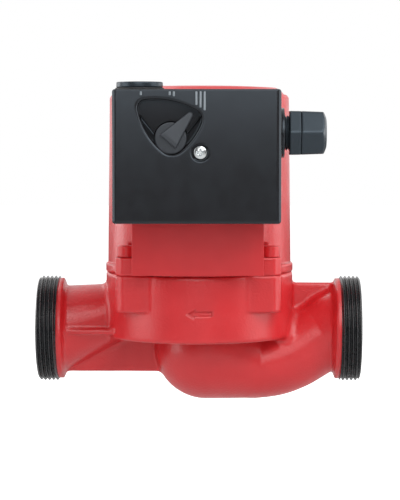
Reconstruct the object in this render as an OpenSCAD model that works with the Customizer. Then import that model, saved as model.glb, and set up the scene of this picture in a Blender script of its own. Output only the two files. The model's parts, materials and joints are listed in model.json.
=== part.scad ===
// Glandless three-speed heating circulator, built up from its separate pieces.
// The motor axis is vertical. Water enters at the +X port and leaves at the -X port.
// The origin is the centre of the suction port's sealing face.

/* [Ports] */
// Distance between the sealing faces of the two ports
port_span = 180; // [180:1:220]
// Outside radius of the G 2 pipe thread
thread_r = 29.8; // [29:0.1:31]
// Length of the pipe thread
thread_len = 11; // [10:0.5:12]
// Radius of the bore at each port
port_bore_r = 16; // [15:0.5:18]
// Length of the straight bore behind each sealing face
port_bore_len = 12; // [8:0.5:12]
// Radius of the collar behind each thread
collar_r = 28.2; // [27:0.1:28.6]

/* [Pump housing] */
// Radius of the suction waterway
way_r = 15; // [13:0.5:15]
// Thickness of the cast wall around the waterway
cast_wall = 5; // [4:0.5:5]
// Outside radius of the volute drum
drum_r = 52.2; // [51.8:0.1:53]
// Height of the drum's top face above the port axis
drum_top = 32.6; // [32:0.1:34]
// Thickness of the cast webs
web_t = 5; // [3:0.5:7]
// Half the distance across the four corner lugs
lug_half = 45; // [44:0.5:47]
// Half the distance between neighbouring motor screws
screw_pitch = 39; // [38.5:0.1:39.5]

/* [Impeller and rotor] */
// Outside radius of the impeller
impeller_r = 36; // [32:0.5:36.5]
// Number of impeller blades
blade_count = 7; // [5:1:8]
// Radius of the shaft
shaft_r = 5; // [4:0.1:5]
// Radius of the canned rotor
rotor_r = 30.9; // [28:0.1:30.9]
// Number of slots in the stator
slot_count = 24; // [12:6:24]

/* [Motor housing] */
// Outside radius at the foot of the motor cylinder
motor_foot_r = 51.2; // [50.6:0.1:51.6]
// Outside radius at the head of the motor cylinder
motor_head_r = 50.1; // [49.8:0.1:50.6]
// Height of the motor's end face above the port axis
motor_top = 135.5; // [135:0.5:140]
// Radius of the bottom flange
flange_r = 52.4; // [52:0.1:53]

/* [Terminal box] */
// Width of the terminal box
box_w = 86.8; // [84:0.2:92]
// Height of the terminal box
box_h = 69.1; // [67:0.1:72]
// Height of the box's lower edge above the port axis
box_z = 62.9; // [61:0.1:64]
// Distance of the cover's front from the motor axis
box_front = 94; // [93:0.5:96]
// Distance of the joint between base and cover from the motor axis
box_joint = 84; // [83.5:0.5:85]
// Wall thickness of the box
box_wall = 2.6; // [2:0.1:3]

/* [Speed knob] */
// Sideways place of the knob's axis
knob_x = -13.4; // [-15:0.1:-12]
// Height of the knob's axis above the port axis
knob_z = 106.8; // [105:0.1:108]
// Radius of the knob's disc
knob_r = 8.2; // [7:0.1:8.4]
// Angle between two speeds
speed_step = 40; // [30:1:42]

/* [Hidden] */
$fn = 64;
cut = 1;                       // how far a cutter runs past a face
run_fit = 0.05;                // radial clearance of a running fit

// Ports
face_x = port_span / 2;
collar_len = 2.7;
collar_x = face_x - thread_len - collar_len;
collar_flare = 1.8;            // length of the flare from the pipe up to the collar
thread_chamfer = 1.5;
pipe_r = 24.2;

// Suction way: down from the port, back to level, then up into the impeller's eye
drop_angle = 32;
drop_bend = 24;                // radius of the first bend
level_bend = 50;               // radius of the bend back to level
eye_bend = 20;                 // radius of the bend up into the eye
eye_top = 0.5;
way_z = eye_top - eye_bend;
drop_x = 82.5;                 // where the first bend starts
ramp_drop = -way_z - (drop_bend + level_bend) * (1 - cos(drop_angle));
level_x = drop_x - (drop_bend + level_bend) * sin(drop_angle)
    - ramp_drop / tan(drop_angle);      // where the level run starts
bend_steps = 5;
loft_sides = 32;

// Discharge way: a cone that leaves the port level and rises into the volute
cone_x = 75.5;                 // distance of its wide end from the motor axis
cone_pipe_r = 23.8;
volute_x = 44;                 // where it meets the volute
volute_rise = 9.2;
volute_pipe_r = 16.2;
volute_way_r = 10;

// Volute drum, from the bottom up
drum_bottom = -3.8;
drum_lip = 2;                  // rounding of the drum's lower edge
volute_floor = 3;
volute_top = 25;
throat_r = 42;
seat_z = 28;                   // ledge that carries gasket, plate and can
seat_r = 48.6;
stack_r = seat_r - 0.1;        // outside radius of what lies on the ledge
volute_min = 38;
volute_max = 44.5;
tongue_angle = 190;
boss_z = 12.7;
lug_inner = 25.5;
lug_chamfer = 3.5;
screw_r = 3;                   // shank of a motor screw
bulb = [3.7, -11.2];
bulb_r = 28.5;

// Stack in the seat
gasket_t = 1.4;
plate_t = 1.6;
plate_z = seat_z + gasket_t;
can_z = plate_z + plate_t;
can_r = 32;
can_wall = 0.5;
can_top = 119;
neck_r = 9.6;
vent_r = 8;

// Rotor set
eye_ring_r = 18;
neck_out = way_r - 0.08;
shroud_z = 7;
shroud_t = 1.6;
back_z = 16.4;
back_t = 2;
hub_r = 9;
bush_r = 7;
bush_z = 11;
hub_top = 21;
bearing_r = 9;
lower_z = 21.8;
lower_top = 36;
upper_z = 106;
upper_top = 117;
shaft_top = 124;

// Stator and motor housing
stator_r = 46.6;
stator_z = 52;
stator_top = 102;
slot_in = 34.5;
slot_out = 42;
slot_w = 4.2;
flange_h = 4.8;
lug_h = 10;
pad_half = 33;
pad_top = 66;
carrier_half = 26;
carrier_top = 124;
seat_face = 56.2;              // front of the pad, from the motor axis
plate_front = 57;              // front of the name plate and back of the box
head_floor = 129;
vent_recess_z = 132.5;
head_h = 6;                    // head of a motor screw
head_r = 5;

// Terminal box
box_top = box_z + box_h;
cover_post = [1.9, 99.5];
carrier_screws = [[0, 72], [20, 118]];
lead_hole = [-20, 88];
gasket_gap = 0.6;
cover_wall = 2.4;
window_depth = 6;
window_floor = box_front - window_depth;
window_corner = 3.6;
sweep_floor = box_front - 4.2; // raised floor under the pointer's sweep
plug_x = -30.2;
gland_y = 70;                  // plug and gland axes, from the motor axis
gland_z = 109.6;
entry_r = 8;
gland_hex = 22.5;

module at_axis() translate([-face_x, 0, 0]) children();

// Extrudes a front-view outline (x, z) from one distance to another in front of the axis
module toward_front(near, far)
    translate([0, -near, 0]) rotate([90, 0, 0]) linear_extrude(far - near) children();

// A cylinder along +X that starts at x
module along_x(x, len, r) translate([x, 0, 0]) rotate([0, 90, 0]) cylinder(h = len, r = r);

// A ring between two heights
module ring(r_in, r_out, z0, z1) difference() {
    translate([0, 0, z0]) cylinder(h = z1 - z0, r = r_out);
    translate([0, 0, z0 - cut]) cylinder(h = z1 - z0 + 2 * cut, r = r_in);
}

// A loft through round sections that stand on a line in the XZ plane.
// A station is [x, z, slope, radius]; slope 0 runs to -X and 90 runs down.
module loft(stations) {
    n = loft_sides;
    last = len(stations) - 1;
    polyhedron(
        points = [for (s = stations, i = [0 : n - 1])
            let (a = i * 360 / n, up = s[3] * sin(a))
            [s[0] - up * sin(s[2]), s[3] * cos(a), s[1] + up * cos(s[2])]],
        faces = concat(
            [[for (i = [n - 1 : -1 : 0]) i]],
            [for (k = [0 : last - 1], i = [0 : n - 1]) let (j = (i + 1) % n)
                [k * n + i, k * n + j, (k + 1) * n + j, (k + 1) * n + i]],
            [[for (i = [0 : n - 1]) last * n + i]]
        )
    );
}

module at_screws() for (x = [-1, 1], y = [-1, 1])
    translate([x * screw_pitch, y * screw_pitch, 0]) children();

// The four corner lugs between two heights, each with its outer corner chamfered
module lugs(z0, z1) for (x = [0, 1], y = [0, 1]) mirror([x, 0, 0]) mirror([0, y, 0])
    translate([0, 0, z0]) linear_extrude(z1 - z0) polygon([
        [lug_inner, lug_inner], [lug_half, lug_inner], [lug_half, lug_half - lug_chamfer],
        [lug_half - lug_chamfer, lug_half], [lug_inner, lug_half]
    ]);

// ---- Pump housing ----

// Stations of the suction way from the port to its level run. The section is r_port at the
// port and r from the first bend on.
function suction_stations(r_port, r) = concat(
    [[drop_x + 2, 0, 0, r_port]],
    [for (i = [0 : bend_steps]) let (t = i / bend_steps, a = t * drop_angle)
        [drop_x - drop_bend * sin(a), -drop_bend * (1 - cos(a)), a, r_port + (r - r_port) * t]],
    [for (i = [0 : bend_steps]) let (a = drop_angle * (1 - i / bend_steps))
        [level_x + level_bend * sin(a), way_z + level_bend * (1 - cos(a)), a, r]]
);

// Stations of the level run and the bend up into the impeller's eye
function eye_stations(r) = concat(
    [[eye_bend, way_z, 0, r]],
    [for (i = [1 : 2 * bend_steps]) let (a = -90 * i / (2 * bend_steps))
        [eye_bend * (1 + sin(a)), eye_top - eye_bend * cos(a), a, r]],
    [[0, eye_top + cut, -90, r]]
);

// The cone from the volute to the discharge port, with a straight run past each of its ends
module discharge(r_port, r_volute, port_run, volute_run) loft([
    [-volute_x + volute_run, volute_rise + volute_run / 4, 0, r_volute],
    [-volute_x, volute_rise, 0, r_volute],
    [-cone_x, 0, 0, r_port],
    [-cone_x - port_run, 0, 0, r_port]
]);

// Thread and collar of one port; side is 1 for suction and -1 for discharge
module port(side) mirror([side > 0 ? 0 : 1, 0, 0]) {
    sunk = 0.6;                // how far the flare starts inside the pipe
    rise = (collar_r - pipe_r) / collar_flare;
    thread_x = collar_x + collar_len;
    rotate([0, 90, 0]) rotate_extrude() polygon([
        [0, collar_x - collar_flare - sunk], [pipe_r - sunk * rise, collar_x - collar_flare - sunk],
        [collar_r, collar_x], [collar_r, thread_x], [thread_r, thread_x],
        [thread_r, face_x - thread_chamfer], [thread_r - thread_chamfer, face_x], [0, face_x]
    ]);
}

module drum() rotate_extrude() {
    translate([0, drum_bottom]) square([drum_r - drum_lip, drum_top - drum_bottom]);
    translate([0, drum_bottom + drum_lip]) square([drum_r, drum_top - drum_bottom - drum_lip]);
    translate([drum_r - drum_lip, drum_bottom + drum_lip]) circle(drum_lip);
}

module webs() {
    low = -24.4;
    high = 25.8;
    rib_half = pipe_r - 0.5;
    rib_t = 2.8;
    toward_front(-web_t / 2, web_t / 2) {
        polygon([[-collar_x, low], [-20, low], [-12, -8], [-44, 0], [-collar_x, -6]]);
        polygon([[collar_x, high], [44, high], [44, -8], [60, -8], [collar_x, 4]]);
    }
    // horizontal ribs on both sides of the discharge cone, at the height of the port axis
    translate([-collar_x, -rib_half, -rib_t / 2]) cube([collar_x - volute_x, 2 * rib_half, rib_t]);
}

// Spiral outline of the volute; it widens up to the discharge side
function volute_r(a) = volute_min + (volute_max - volute_min) * (a - tongue_angle) / 360;
module volute_outline()
    polygon([for (a = [tongue_angle : 7.5 : tongue_angle + 359])
        volute_r(a) * [cos(a), sin(a)]]);

module waterways() {
    translate([0, 0, volute_floor]) linear_extrude(volute_top - volute_floor) volute_outline();
    translate([0, 0, volute_top - cut]) cylinder(h = seat_z - volute_top + 2 * cut, r = throat_r);
    translate([0, 0, seat_z]) cylinder(h = drum_top - seat_z + cut, r = seat_r);
    translate([0, 0, eye_top]) cylinder(h = volute_floor, r = eye_ring_r);
    loft(concat(suction_stations(way_r, way_r), eye_stations(way_r)));
    discharge(way_r, volute_way_r, 4, 12);
    for (side = [0, 1]) mirror([side, 0, 0])
        along_x(face_x - port_bore_len, port_bore_len + cut, port_bore_r);
}

module pump_housing() at_axis() color("firebrick") difference() {
    union() {
        drum();
        lugs(boss_z, drum_top);
        port(1);
        port(-1);
        loft(concat(suction_stations(pipe_r, way_r + cast_wall),
            [[bulb[0] + 2, bulb[1] - 2.2, 0, bulb_r - 2.4]]));
        translate([bulb[0], 0, bulb[1]]) sphere(bulb_r);
        discharge(cone_pipe_r, volute_pipe_r, 3, 4);
        webs();
    }
    waterways();
    at_screws() translate([0, 0, boss_z + 3]) cylinder(h = drum_top, r = screw_r + run_fit);
}

module wear_ring() at_axis() color("silver")
    ring(way_r, eye_ring_r - 0.02, eye_top, volute_floor + 1.5);

module housing_gasket() at_axis() color("dimgray")
    ring(throat_r + 1, stack_r, seat_z, plate_z);

// ---- Rotor chamber ----

// Pressed dish with a raised rim, a dropped middle and a hub for the lower bearing
module bearing_plate() at_axis() color("lightgray") rotate_extrude() polygon([
    [bearing_r, lower_z], [bearing_r + 2, lower_z], [bearing_r + 2, lower_z + 0.4],
    [30, lower_z + 0.4], [38, plate_z], [stack_r, plate_z], [stack_r, can_z],
    [37, can_z], [29, lower_z + 2], [bearing_r + 2, lower_z + 2],
    [bearing_r + 2, lower_top], [bearing_r, lower_top]
]);

module lower_bearing() at_axis() color("darkslategray")
    ring(shaft_r + run_fit, bearing_r, lower_z, lower_top);

module upper_bearing() at_axis() color("darkslategray")
    ring(shaft_r + run_fit, bearing_r, upper_z, upper_top);

module bearing_holder() at_axis() color("lightgray") {
    ring(bearing_r, bearing_r + 2.5, upper_z, upper_top);
    ring(bearing_r + 2.5, can_r - can_wall - 0.03, upper_top - 2, upper_top);
}

module rotor_can() at_axis() color("lightgray") rotate_extrude() polygon([
    [can_r - can_wall, can_z], [stack_r, can_z], [stack_r, drum_top],
    [can_r, drum_top], [can_r, can_top], [neck_r, can_top], [neck_r, head_floor],
    [vent_r + run_fit, head_floor], [vent_r + run_fit, can_top - 1],
    [can_r - can_wall, can_top - 1]
]);

// ---- Rotor set ----

// One backward-curved blade: an arc from the eye to the rim
module blade() {
    arc_r = 24;
    arc_x = 22;
    half_t = 0.9;
    intersection() {
        translate([arc_x, 0]) difference() {
            circle(arc_r + half_t);
            circle(arc_r - half_t);
        }
        difference() {
            circle(impeller_r - 0.2);
            circle(bush_r + 5.5);
        }
        translate([0, 5]) square(impeller_r);
    }
}

module impeller() at_axis() color("wheat") difference() {
    union() {
        rotate_extrude() polygon([
            [neck_out - 2, eye_top + 1], [neck_out, eye_top + 1], [neck_out, shroud_z],
            [impeller_r, shroud_z + 1.5], [impeller_r, shroud_z + 1.5 + shroud_t],
            [neck_out - 2, shroud_z + shroud_t]
        ]);
        rotate_extrude() polygon([
            [bush_r, bush_z], [hub_r, bush_z], [hub_r + 4, back_z], [impeller_r, back_z],
            [impeller_r, back_z + back_t], [hub_r + 2, back_z + back_t], [hub_r, hub_top],
            [bush_r, hub_top]
        ]);
        translate([0, 0, shroud_z + shroud_t]) linear_extrude(back_z - shroud_z - shroud_t + 0.5)
            for (i = [0 : blade_count - 1]) rotate(i * 360 / blade_count) blade();
    }
    translate([0, 0, bush_z - cut]) cylinder(h = hub_top, r = bush_r);
}

module impeller_bush() at_axis() color("goldenrod") ring(shaft_r, bush_r, bush_z, hub_top);

// Hollow, so that the rotor chamber vents through it; the top has a screwdriver slot
module shaft() at_axis() color("silver") difference() {
    translate([0, 0, bush_z]) cylinder(h = shaft_top - bush_z, r = shaft_r);
    translate([0, 0, bush_z - cut]) cylinder(h = shaft_top, r = 1.25);
    translate([-shaft_r - cut, -0.7, shaft_top - 2]) cube([2 * shaft_r + 2 * cut, 1.4, 2 + cut]);
}

module thrust_bearing() at_axis() color("dimgray")
    ring(shaft_r, bearing_r + 1, lower_top + 0.4, lower_top + 4);

// Canned squirrel cage with a smaller ring at each end
module rotor_core() at_axis() color("slategray") {
    end_ring = 4;
    core_z = stator_z - 2;
    core_top = stator_top - 2;
    difference() {
        union() {
            translate([0, 0, core_z]) cylinder(h = core_top - core_z, r = rotor_r);
            translate([0, 0, core_z - end_ring])
                cylinder(h = core_top - core_z + 2 * end_ring, r = rotor_r - 3);
            translate([0, 0, lower_top + 4]) cylinder(h = core_z - lower_top, r = bearing_r);
        }
        translate([0, 0, lower_top]) cylinder(h = motor_top, r = shaft_r);
    }
}

// ---- Stator ----

module slots(z0, z1, grow) for (i = [0 : slot_count - 1]) rotate(i * 360 / slot_count)
    translate([slot_in - grow, -slot_w / 2 - grow, z0])
        cube([slot_out - slot_in + 2 * grow, slot_w + 2 * grow, z1 - z0]);

module stator_core() at_axis() color("dimgray") difference() {
    ring(can_r + 0.15, stator_r - 0.05, stator_z, stator_top);
    slots(stator_z - cut, stator_top + cut, 0.3);
}

module stator_windings() at_axis() color("chocolate") {
    lift = 0.6;
    end_turn = 10;
    slots(stator_z - lift, stator_top + lift, 0);
    for (z = [stator_z - lift - end_turn, stator_top + lift])
        ring(slot_in - 0.5, slot_out + 1, z, z + end_turn);
}

// Outside of the motor cylinder with its draft, the stepped shoulder and the crowned end
module motor_profile() {
    step_z = motor_top - 4.6;
    polygon([
        [0, drum_top], [flange_r, drum_top], [flange_r, drum_top + flange_h - 1.2],
        [flange_r - 1.2, drum_top + flange_h], [motor_foot_r, drum_top + flange_h],
        [motor_head_r, step_z - 1.8], [motor_head_r - 0.9, step_z],
        [motor_head_r - 2.2, step_z], [motor_head_r - 4.1, step_z + 2.5],
        [motor_head_r - 6.5, motor_top - 0.7], [30, motor_top], [0, motor_top]
    ]);
}

module stator_housing() at_axis() color("crimson") difference() {
    union() {
        rotate_extrude() motor_profile();
        lugs(drum_top, drum_top + lug_h);
        toward_front(0, seat_face) {
            translate([-pad_half, drum_top + flange_h])
                square([2 * pad_half, pad_top - drum_top - flange_h]);
            translate([-carrier_half, pad_top - 1])
                square([2 * carrier_half, carrier_top - pad_top + 1]);
        }
    }
    translate([0, 0, drum_top - cut]) cylinder(h = head_floor - drum_top + cut, r = stator_r);
    translate([0, 0, head_floor - cut]) cylinder(h = 10, r = neck_r + 0.1);
    translate([0, 0, vent_recess_z]) cylinder(h = 10, r = 13);
    at_screws() {
        translate([0, 0, drum_top - cut]) cylinder(h = 2 * lug_h, r = screw_r + 0.3);
        translate([0, 0, drum_top + lug_h]) cylinder(h = head_h + 1, r = head_r + 0.4);
    }
    toward_front(stator_r - 8, seat_face + cut) {
        translate(lead_hole) circle(6);
    }
    toward_front(seat_face - 6, seat_face + cut)
        for (p = carrier_screws) translate(p) circle(2.05);
}

module vent_screw() at_axis() color("goldenrod") difference() {
    union() {
        translate([0, 0, shaft_top + 1]) cylinder(h = motor_top - shaft_top - 3, r = vent_r);
        translate([0, 0, vent_recess_z + 0.8]) cylinder(h = 1.9, r = 11);
    }
    translate([-12, -1.1, motor_top - 1.8]) cube([24, 2.2, 3]);
}

module vent_seal() at_axis() color("dimgray")
    ring(vent_r + run_fit, 10.8, vent_recess_z, vent_recess_z + 0.8);

module motor_screws() at_axis() color("crimson") at_screws() difference() {
    head_z = drum_top + lug_h;
    union() {
        translate([0, 0, head_z]) cylinder(h = head_h, r = head_r);
        translate([0, 0, boss_z + 6]) cylinder(h = head_z - boss_z - 5, r = screw_r);
    }
    translate([0, 0, head_z + 3]) cylinder(h = 4, r = 2.9, $fn = 6);
}

// Blank sheet plate, clamped behind the terminal box
module nameplate() at_axis() color("crimson") toward_front(seat_face, plate_front) difference() {
    half_w = 35.2;
    plate_bottom = 33.5;
    translate([-half_w, plate_bottom]) square([2 * half_w, carrier_top - plate_bottom]);
    translate(lead_hole) circle(6);
    for (p = carrier_screws) translate(p) circle(2.2);
}

// ---- Terminal box ----

// Front view of the box, made smaller by an inset, with round corners
module box_outline(inset) {
    corner = 1.6;
    w = box_w - 2 * inset;
    h = box_h - 2 * inset;
    translate([-w / 2, box_z + inset + corner]) square([w, h - 2 * corner]);
    translate([-w / 2 + corner, box_z + inset]) square([w - 2 * corner, h]);
    for (x = [-1, 1], z = [-1, 1])
        translate([x * (w / 2 - corner), box_z + box_h / 2 + z * (h / 2 - corner)])
            circle(corner);
}

module box_base() at_axis() color("#26282c") difference() {
    floor_front = plate_front + box_wall;
    union() {
        difference() {
            toward_front(plate_front, box_joint) box_outline(0);
            toward_front(floor_front, box_joint + cut) box_outline(box_wall);
        }
        toward_front(floor_front - 0.5, box_joint) translate(cover_post) circle(3);
    }
    toward_front(plate_front + 6, box_joint + cut) translate(cover_post) circle(1.95);
    translate([plug_x, -gland_y, box_top - box_wall - cut])
        cylinder(h = box_wall + 2 * cut, r = entry_r + run_fit);
    translate([0, -gland_y, gland_z])
        along_x(box_w / 2 - box_wall - cut, box_wall + 2 * cut, entry_r + run_fit);
    toward_front(plate_front - cut, floor_front + cut) {
        translate(lead_hole) circle(6);
        for (p = carrier_screws) translate(p) circle(2.2);
    }
}

module box_screws() at_axis() color("silver") for (p = carrier_screws)
    translate([p[0], 0, p[1]]) rotate([90, 0, 0]) difference() {
        head = plate_front + box_wall;
        union() {
            translate([0, 0, head]) cylinder(h = 2.6, r = 3.6);
            translate([0, 0, seat_face - 5]) cylinder(h = head - seat_face + 6, r = 2);
        }
        translate([-5, -0.5, head + 1.4]) cube([10, 1, 3]);
    }

module box_gasket() at_axis() color("dimgray")
    toward_front(box_joint, box_joint + gasket_gap) difference() {
        box_outline(0.6);
        box_outline(box_wall - 0.4);
    }

// Speed window: a triangle with bowed sides and round corners, about the knob's axis
module window_outline(grow) translate([knob_x, knob_z]) offset(r = window_corner + grow)
    intersection() {
        translate([18.8, 21.6]) circle(37 - window_corner);
        translate([-16.1, 20.2]) circle(35 - window_corner);
        translate([-8.3, -23.2]) circle(44 - window_corner);
    }

// Floor that the pointer sweeps over: a sector with its sides set out by the pointer's width
module sweep_outline() difference() {
    side_offset = 5.3;
    reach = 40;
    a = 90 - speed_step + 1.5;
    foot = side_offset * [sin(a), -cos(a)];
    tip = foot + reach * [cos(a), sin(a)];
    intersection() {
        window_outline(0.5);
        translate([knob_x, knob_z])
            polygon([foot, tip, [-tip[0], tip[1]], [-foot[0], foot[1]]]);
    }
    translate([knob_x, knob_z]) circle(knob_r + 0.4);
}

module terminal_cover() at_axis() color("#2e3136") difference() {
    back = box_joint + gasket_gap;
    union() {
        difference() {
            union() {
                difference() {
                    toward_front(back, box_front) box_outline(0);
                    toward_front(back - cut, box_front - cover_wall) box_outline(box_wall);
                }
                toward_front(window_floor - 1.6, box_front - 1) window_outline(1.4);
                toward_front(back, box_front - 1) translate(cover_post) circle(5.6);
            }
            toward_front(window_floor, box_front + cut) window_outline(0);
        }
        toward_front(window_floor - 0.5, sweep_floor) sweep_outline();
    }
    toward_front(back - cut, box_front) translate([knob_x, knob_z]) circle(3.6);
    toward_front(back - cut, box_front) translate(cover_post) circle(2.1);
    toward_front(box_front - 1.5, box_front + cut) translate(cover_post) circle(4.7);
}

module cover_screw() at_axis() color("silver")
    translate([cover_post[0], 0, cover_post[1]]) rotate([90, 0, 0]) difference() {
        seat = box_front - 1.5;
        union() {
            translate([0, 0, seat]) cylinder(h = 1.3, r = 3.35);
            translate([0, 0, seat - 20]) cylinder(h = 21, r = 1.9);
        }
        for (a = [0, 90]) rotate(a) translate([-2, -0.4, seat + 0.5]) cube([4, 0.8, 2]);
    }

module terminal_block() at_axis() color("ivory") difference() {
    poles = 3;
    pitch = 10;
    left = -38;
    floor_front = plate_front + box_wall;
    toward_front(floor_front, floor_front + 16) translate([left, 67])
        square([poles * pitch + 2, 14]);
    for (i = [0 : poles - 1]) translate([left + 6 + i * pitch, 0, 74]) rotate([90, 0, 0])
        translate([0, 0, floor_front + 11]) cylinder(h = 10, r = 3);
}

module earth_terminal() at_axis() color("goldenrod")
    translate([-34, 0, 90]) rotate([90, 0, 0]) translate([0, 0, plate_front + box_wall]) {
        cylinder(h = 2, r = 5);
        cylinder(h = 7, r = 2);
        translate([0, 0, 5]) cylinder(h = 2.6, r = 3.6);
    }

// A round can with a bracket that seats it on the box floor
module capacitor() at_axis() color("whitesmoke") {
    can_front = 70;
    translate([0, -can_front, 79]) along_x(8, 31, 8.5);
    toward_front(plate_front + box_wall, can_front) translate([12, 75]) square([22, 8]);
}

module speed_switch() at_axis() color("dimgray") difference() {
    toward_front(plate_front + box_wall, box_joint - 1) translate([knob_x - 11, knob_z - 13])
        square([22, 26]);
    toward_front(box_joint - 10, box_joint + cut) translate([knob_x, knob_z])
        circle(3 + run_fit);
}

// Disc, wedge pointer and stem; the pointer stands at the third speed
module speed_knob() at_axis() color("#4a4f56")
    translate([knob_x, 0, knob_z]) rotate([90, 0, 0]) {
        disc_back = window_floor + 0.3;
        disc_front = sweep_floor + 1.4;
        pointer_t = 3;
        tip_r = 1.5;
        tip_y = 15.5;
        rotate(-speed_step) {
            translate([0, 0, disc_back]) cylinder(h = disc_front - disc_back, r = knob_r);
            translate([0, 0, sweep_floor + 0.3]) linear_extrude(pointer_t) {
                polygon([[-tip_r, tip_y], [tip_r, tip_y], [5.3, -2.3], [-5.3, -2.3]]);
                translate([0, tip_y]) circle(tip_r);
            }
        }
        translate([0, 0, box_joint - 9]) cylinder(h = disc_back - box_joint + 9.5, r = 3);
    }

// ---- Cable entries ----

plug_washer_t = 1.2;

module blanking_plug() at_axis() color("#3a3e42") translate([plug_x, -gland_y, 0]) {
    cap_z = box_top + plug_washer_t;
    cap_h = 3;
    edge = 1.2;
    translate([0, 0, box_top - 7]) cylinder(h = 9, r = entry_r);
    rotate_extrude() {
        translate([0, cap_z]) square([12.2, cap_h - edge]);
        translate([0, cap_z]) square([12.2 - edge, cap_h]);
        translate([12.2 - edge, cap_z + cap_h - edge]) circle(edge);
    }
}

module plug_washer() at_axis() color("dimgray") translate([plug_x, -gland_y, 0])
    ring(entry_r + run_fit, 12.8, box_top, box_top + plug_washer_t);

// Places a part of the gland on its axis, with local +Z pointing out of the box
module on_gland(x) translate([x, -gland_y, gland_z]) rotate([0, 90, 0]) children();

// Gland lengths, out from the box side
flange_t = 2.1;
neck_len = 2.5;
hex_len = 5.8;
nut_len = 13.7;
seal_back = 0.3;               // how far the seal's end lies inside the nut's mouth

// A hexagon across its flats, with a corner facing the front
module hexagon(across, len) rotate(30) cylinder(h = len, r = across / 2 / cos(30), $fn = 6);

module gland_flange() at_axis() color("#303338") on_gland(box_w / 2)
    ring(entry_r + run_fit, 13, 0, flange_t);

module gland_body() at_axis() color("#34383c") on_gland(box_w / 2) difference() {
    union() {
        translate([0, 0, -box_wall - 4]) cylinder(h = box_wall + 5 + flange_t, r = entry_r);
        translate([0, 0, flange_t]) cylinder(h = neck_len + 1, r = 8.6);
        translate([0, 0, flange_t + neck_len]) hexagon(gland_hex, hex_len);
        translate([0, 0, flange_t + neck_len + 1]) cylinder(h = hex_len + 6, r = 9);
    }
    translate([0, 0, -box_wall - 4 - cut]) cylinder(h = 60, r = 6);
    translate([0, 0, flange_t + neck_len + hex_len - 2]) cylinder(h = 60, r = 7.2);
}

module gland_locknut() at_axis() color("#34383c") on_gland(box_w / 2 - box_wall - 3.2)
    difference() {
        hexagon(17.6, 3.2);
        translate([0, 0, -cut]) cylinder(h = 6, r = entry_r + run_fit);
    }

// Rubber sleeve that grips the cable
module gland_seal() at_axis() color("darkgray") on_gland(box_w / 2)
    ring(4, 7.1, flange_t + neck_len + hex_len - 2,
        flange_t + neck_len + hex_len + nut_len - seal_back);

// Hexagon with a chamfered back edge and a domed end
module gland_nut() at_axis() color("#34383c") on_gland(box_w / 2)
    translate([0, 0, flange_t + neck_len + hex_len]) difference() {
        intersection() {
            translate([0, 0, 0.3]) hexagon(gland_hex, nut_len - 0.3);
            rotate_extrude() polygon([
                [0, 0.2], [11.9, 0.2], [13.2, 1.2], [13.2, nut_len - 3], [12.7, nut_len - 2.4],
                [11, nut_len - 1.5], [9, nut_len - 0.6], [7.6, nut_len], [0, nut_len]
            ]);
        }
        translate([0, 0, -cut]) cylinder(h = 8.5, r = 9 + run_fit);
        cylinder(h = 30, r = 7.2);
    }

pump_housing();
wear_ring();
housing_gasket();
bearing_plate();
lower_bearing();
impeller();
impeller_bush();
shaft();
thrust_bearing();
rotor_core();
upper_bearing();
bearing_holder();
rotor_can();
stator_core();
stator_windings();
stator_housing();
vent_screw();
vent_seal();
motor_screws();
nameplate();
box_base();
box_screws();
box_gasket();
terminal_cover();
cover_screw();
terminal_block();
earth_terminal();
capacitor();
speed_switch();
speed_knob();
blanking_plug();
plug_washer();
gland_flange();
gland_body();
gland_locknut();
gland_seal();
gland_nut();
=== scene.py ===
# %% [markdown]
# # A heating circulator
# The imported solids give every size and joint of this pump. This file gives it the looks of the
# real one: a cast housing with rounded runs and a thick coat of enamel, black mouldings with a
# fine grain, rolled threads and bright screws. Everything is in metres where Blender sees it and
# in millimetres from the motor axis where a piece is worked out, as on a workshop drawing.
#
# The order is that of the work: sizes, the tools that make shapes, the finishes, then one piece
# after another from the casting outwards, and the stage with its lamps and camera at the end.

import json

import bpy
import numpy as np
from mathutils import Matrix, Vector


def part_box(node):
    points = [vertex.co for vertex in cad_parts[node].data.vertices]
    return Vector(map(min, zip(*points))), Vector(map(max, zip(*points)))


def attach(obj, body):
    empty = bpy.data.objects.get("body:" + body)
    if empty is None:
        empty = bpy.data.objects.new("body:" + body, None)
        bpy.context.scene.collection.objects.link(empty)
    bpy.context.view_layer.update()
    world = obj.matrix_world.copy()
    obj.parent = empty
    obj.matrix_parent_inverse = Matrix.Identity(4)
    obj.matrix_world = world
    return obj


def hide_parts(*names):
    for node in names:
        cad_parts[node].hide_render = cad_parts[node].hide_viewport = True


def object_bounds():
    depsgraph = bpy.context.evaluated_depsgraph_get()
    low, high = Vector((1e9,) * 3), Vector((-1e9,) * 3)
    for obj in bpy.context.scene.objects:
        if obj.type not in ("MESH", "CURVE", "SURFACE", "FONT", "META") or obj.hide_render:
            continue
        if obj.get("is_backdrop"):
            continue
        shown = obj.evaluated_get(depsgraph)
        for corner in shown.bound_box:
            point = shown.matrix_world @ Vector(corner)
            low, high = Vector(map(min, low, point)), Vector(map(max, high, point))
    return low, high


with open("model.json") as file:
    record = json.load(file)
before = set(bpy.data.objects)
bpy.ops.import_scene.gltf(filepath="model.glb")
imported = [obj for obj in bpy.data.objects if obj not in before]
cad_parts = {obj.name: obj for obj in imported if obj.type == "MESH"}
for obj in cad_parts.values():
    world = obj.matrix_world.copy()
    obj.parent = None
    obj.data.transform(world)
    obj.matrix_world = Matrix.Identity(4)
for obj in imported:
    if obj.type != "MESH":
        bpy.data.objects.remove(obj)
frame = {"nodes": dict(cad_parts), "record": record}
cad_box = [list(corner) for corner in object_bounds()]
MM = 0.001

# %% [markdown]
# ## Sizes from the solids
# Each dressed piece has to sit where its solid sits, so no place is typed in twice. The solids'
# boxes give the heights, radii and faces. `span` turns a box into millimetres from the motor axis.

# %% Read the main sizes
axis_x = sum(corner[0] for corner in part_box("shaft")) / 2
AXIS = np.array([axis_x, 0, 0])


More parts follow.
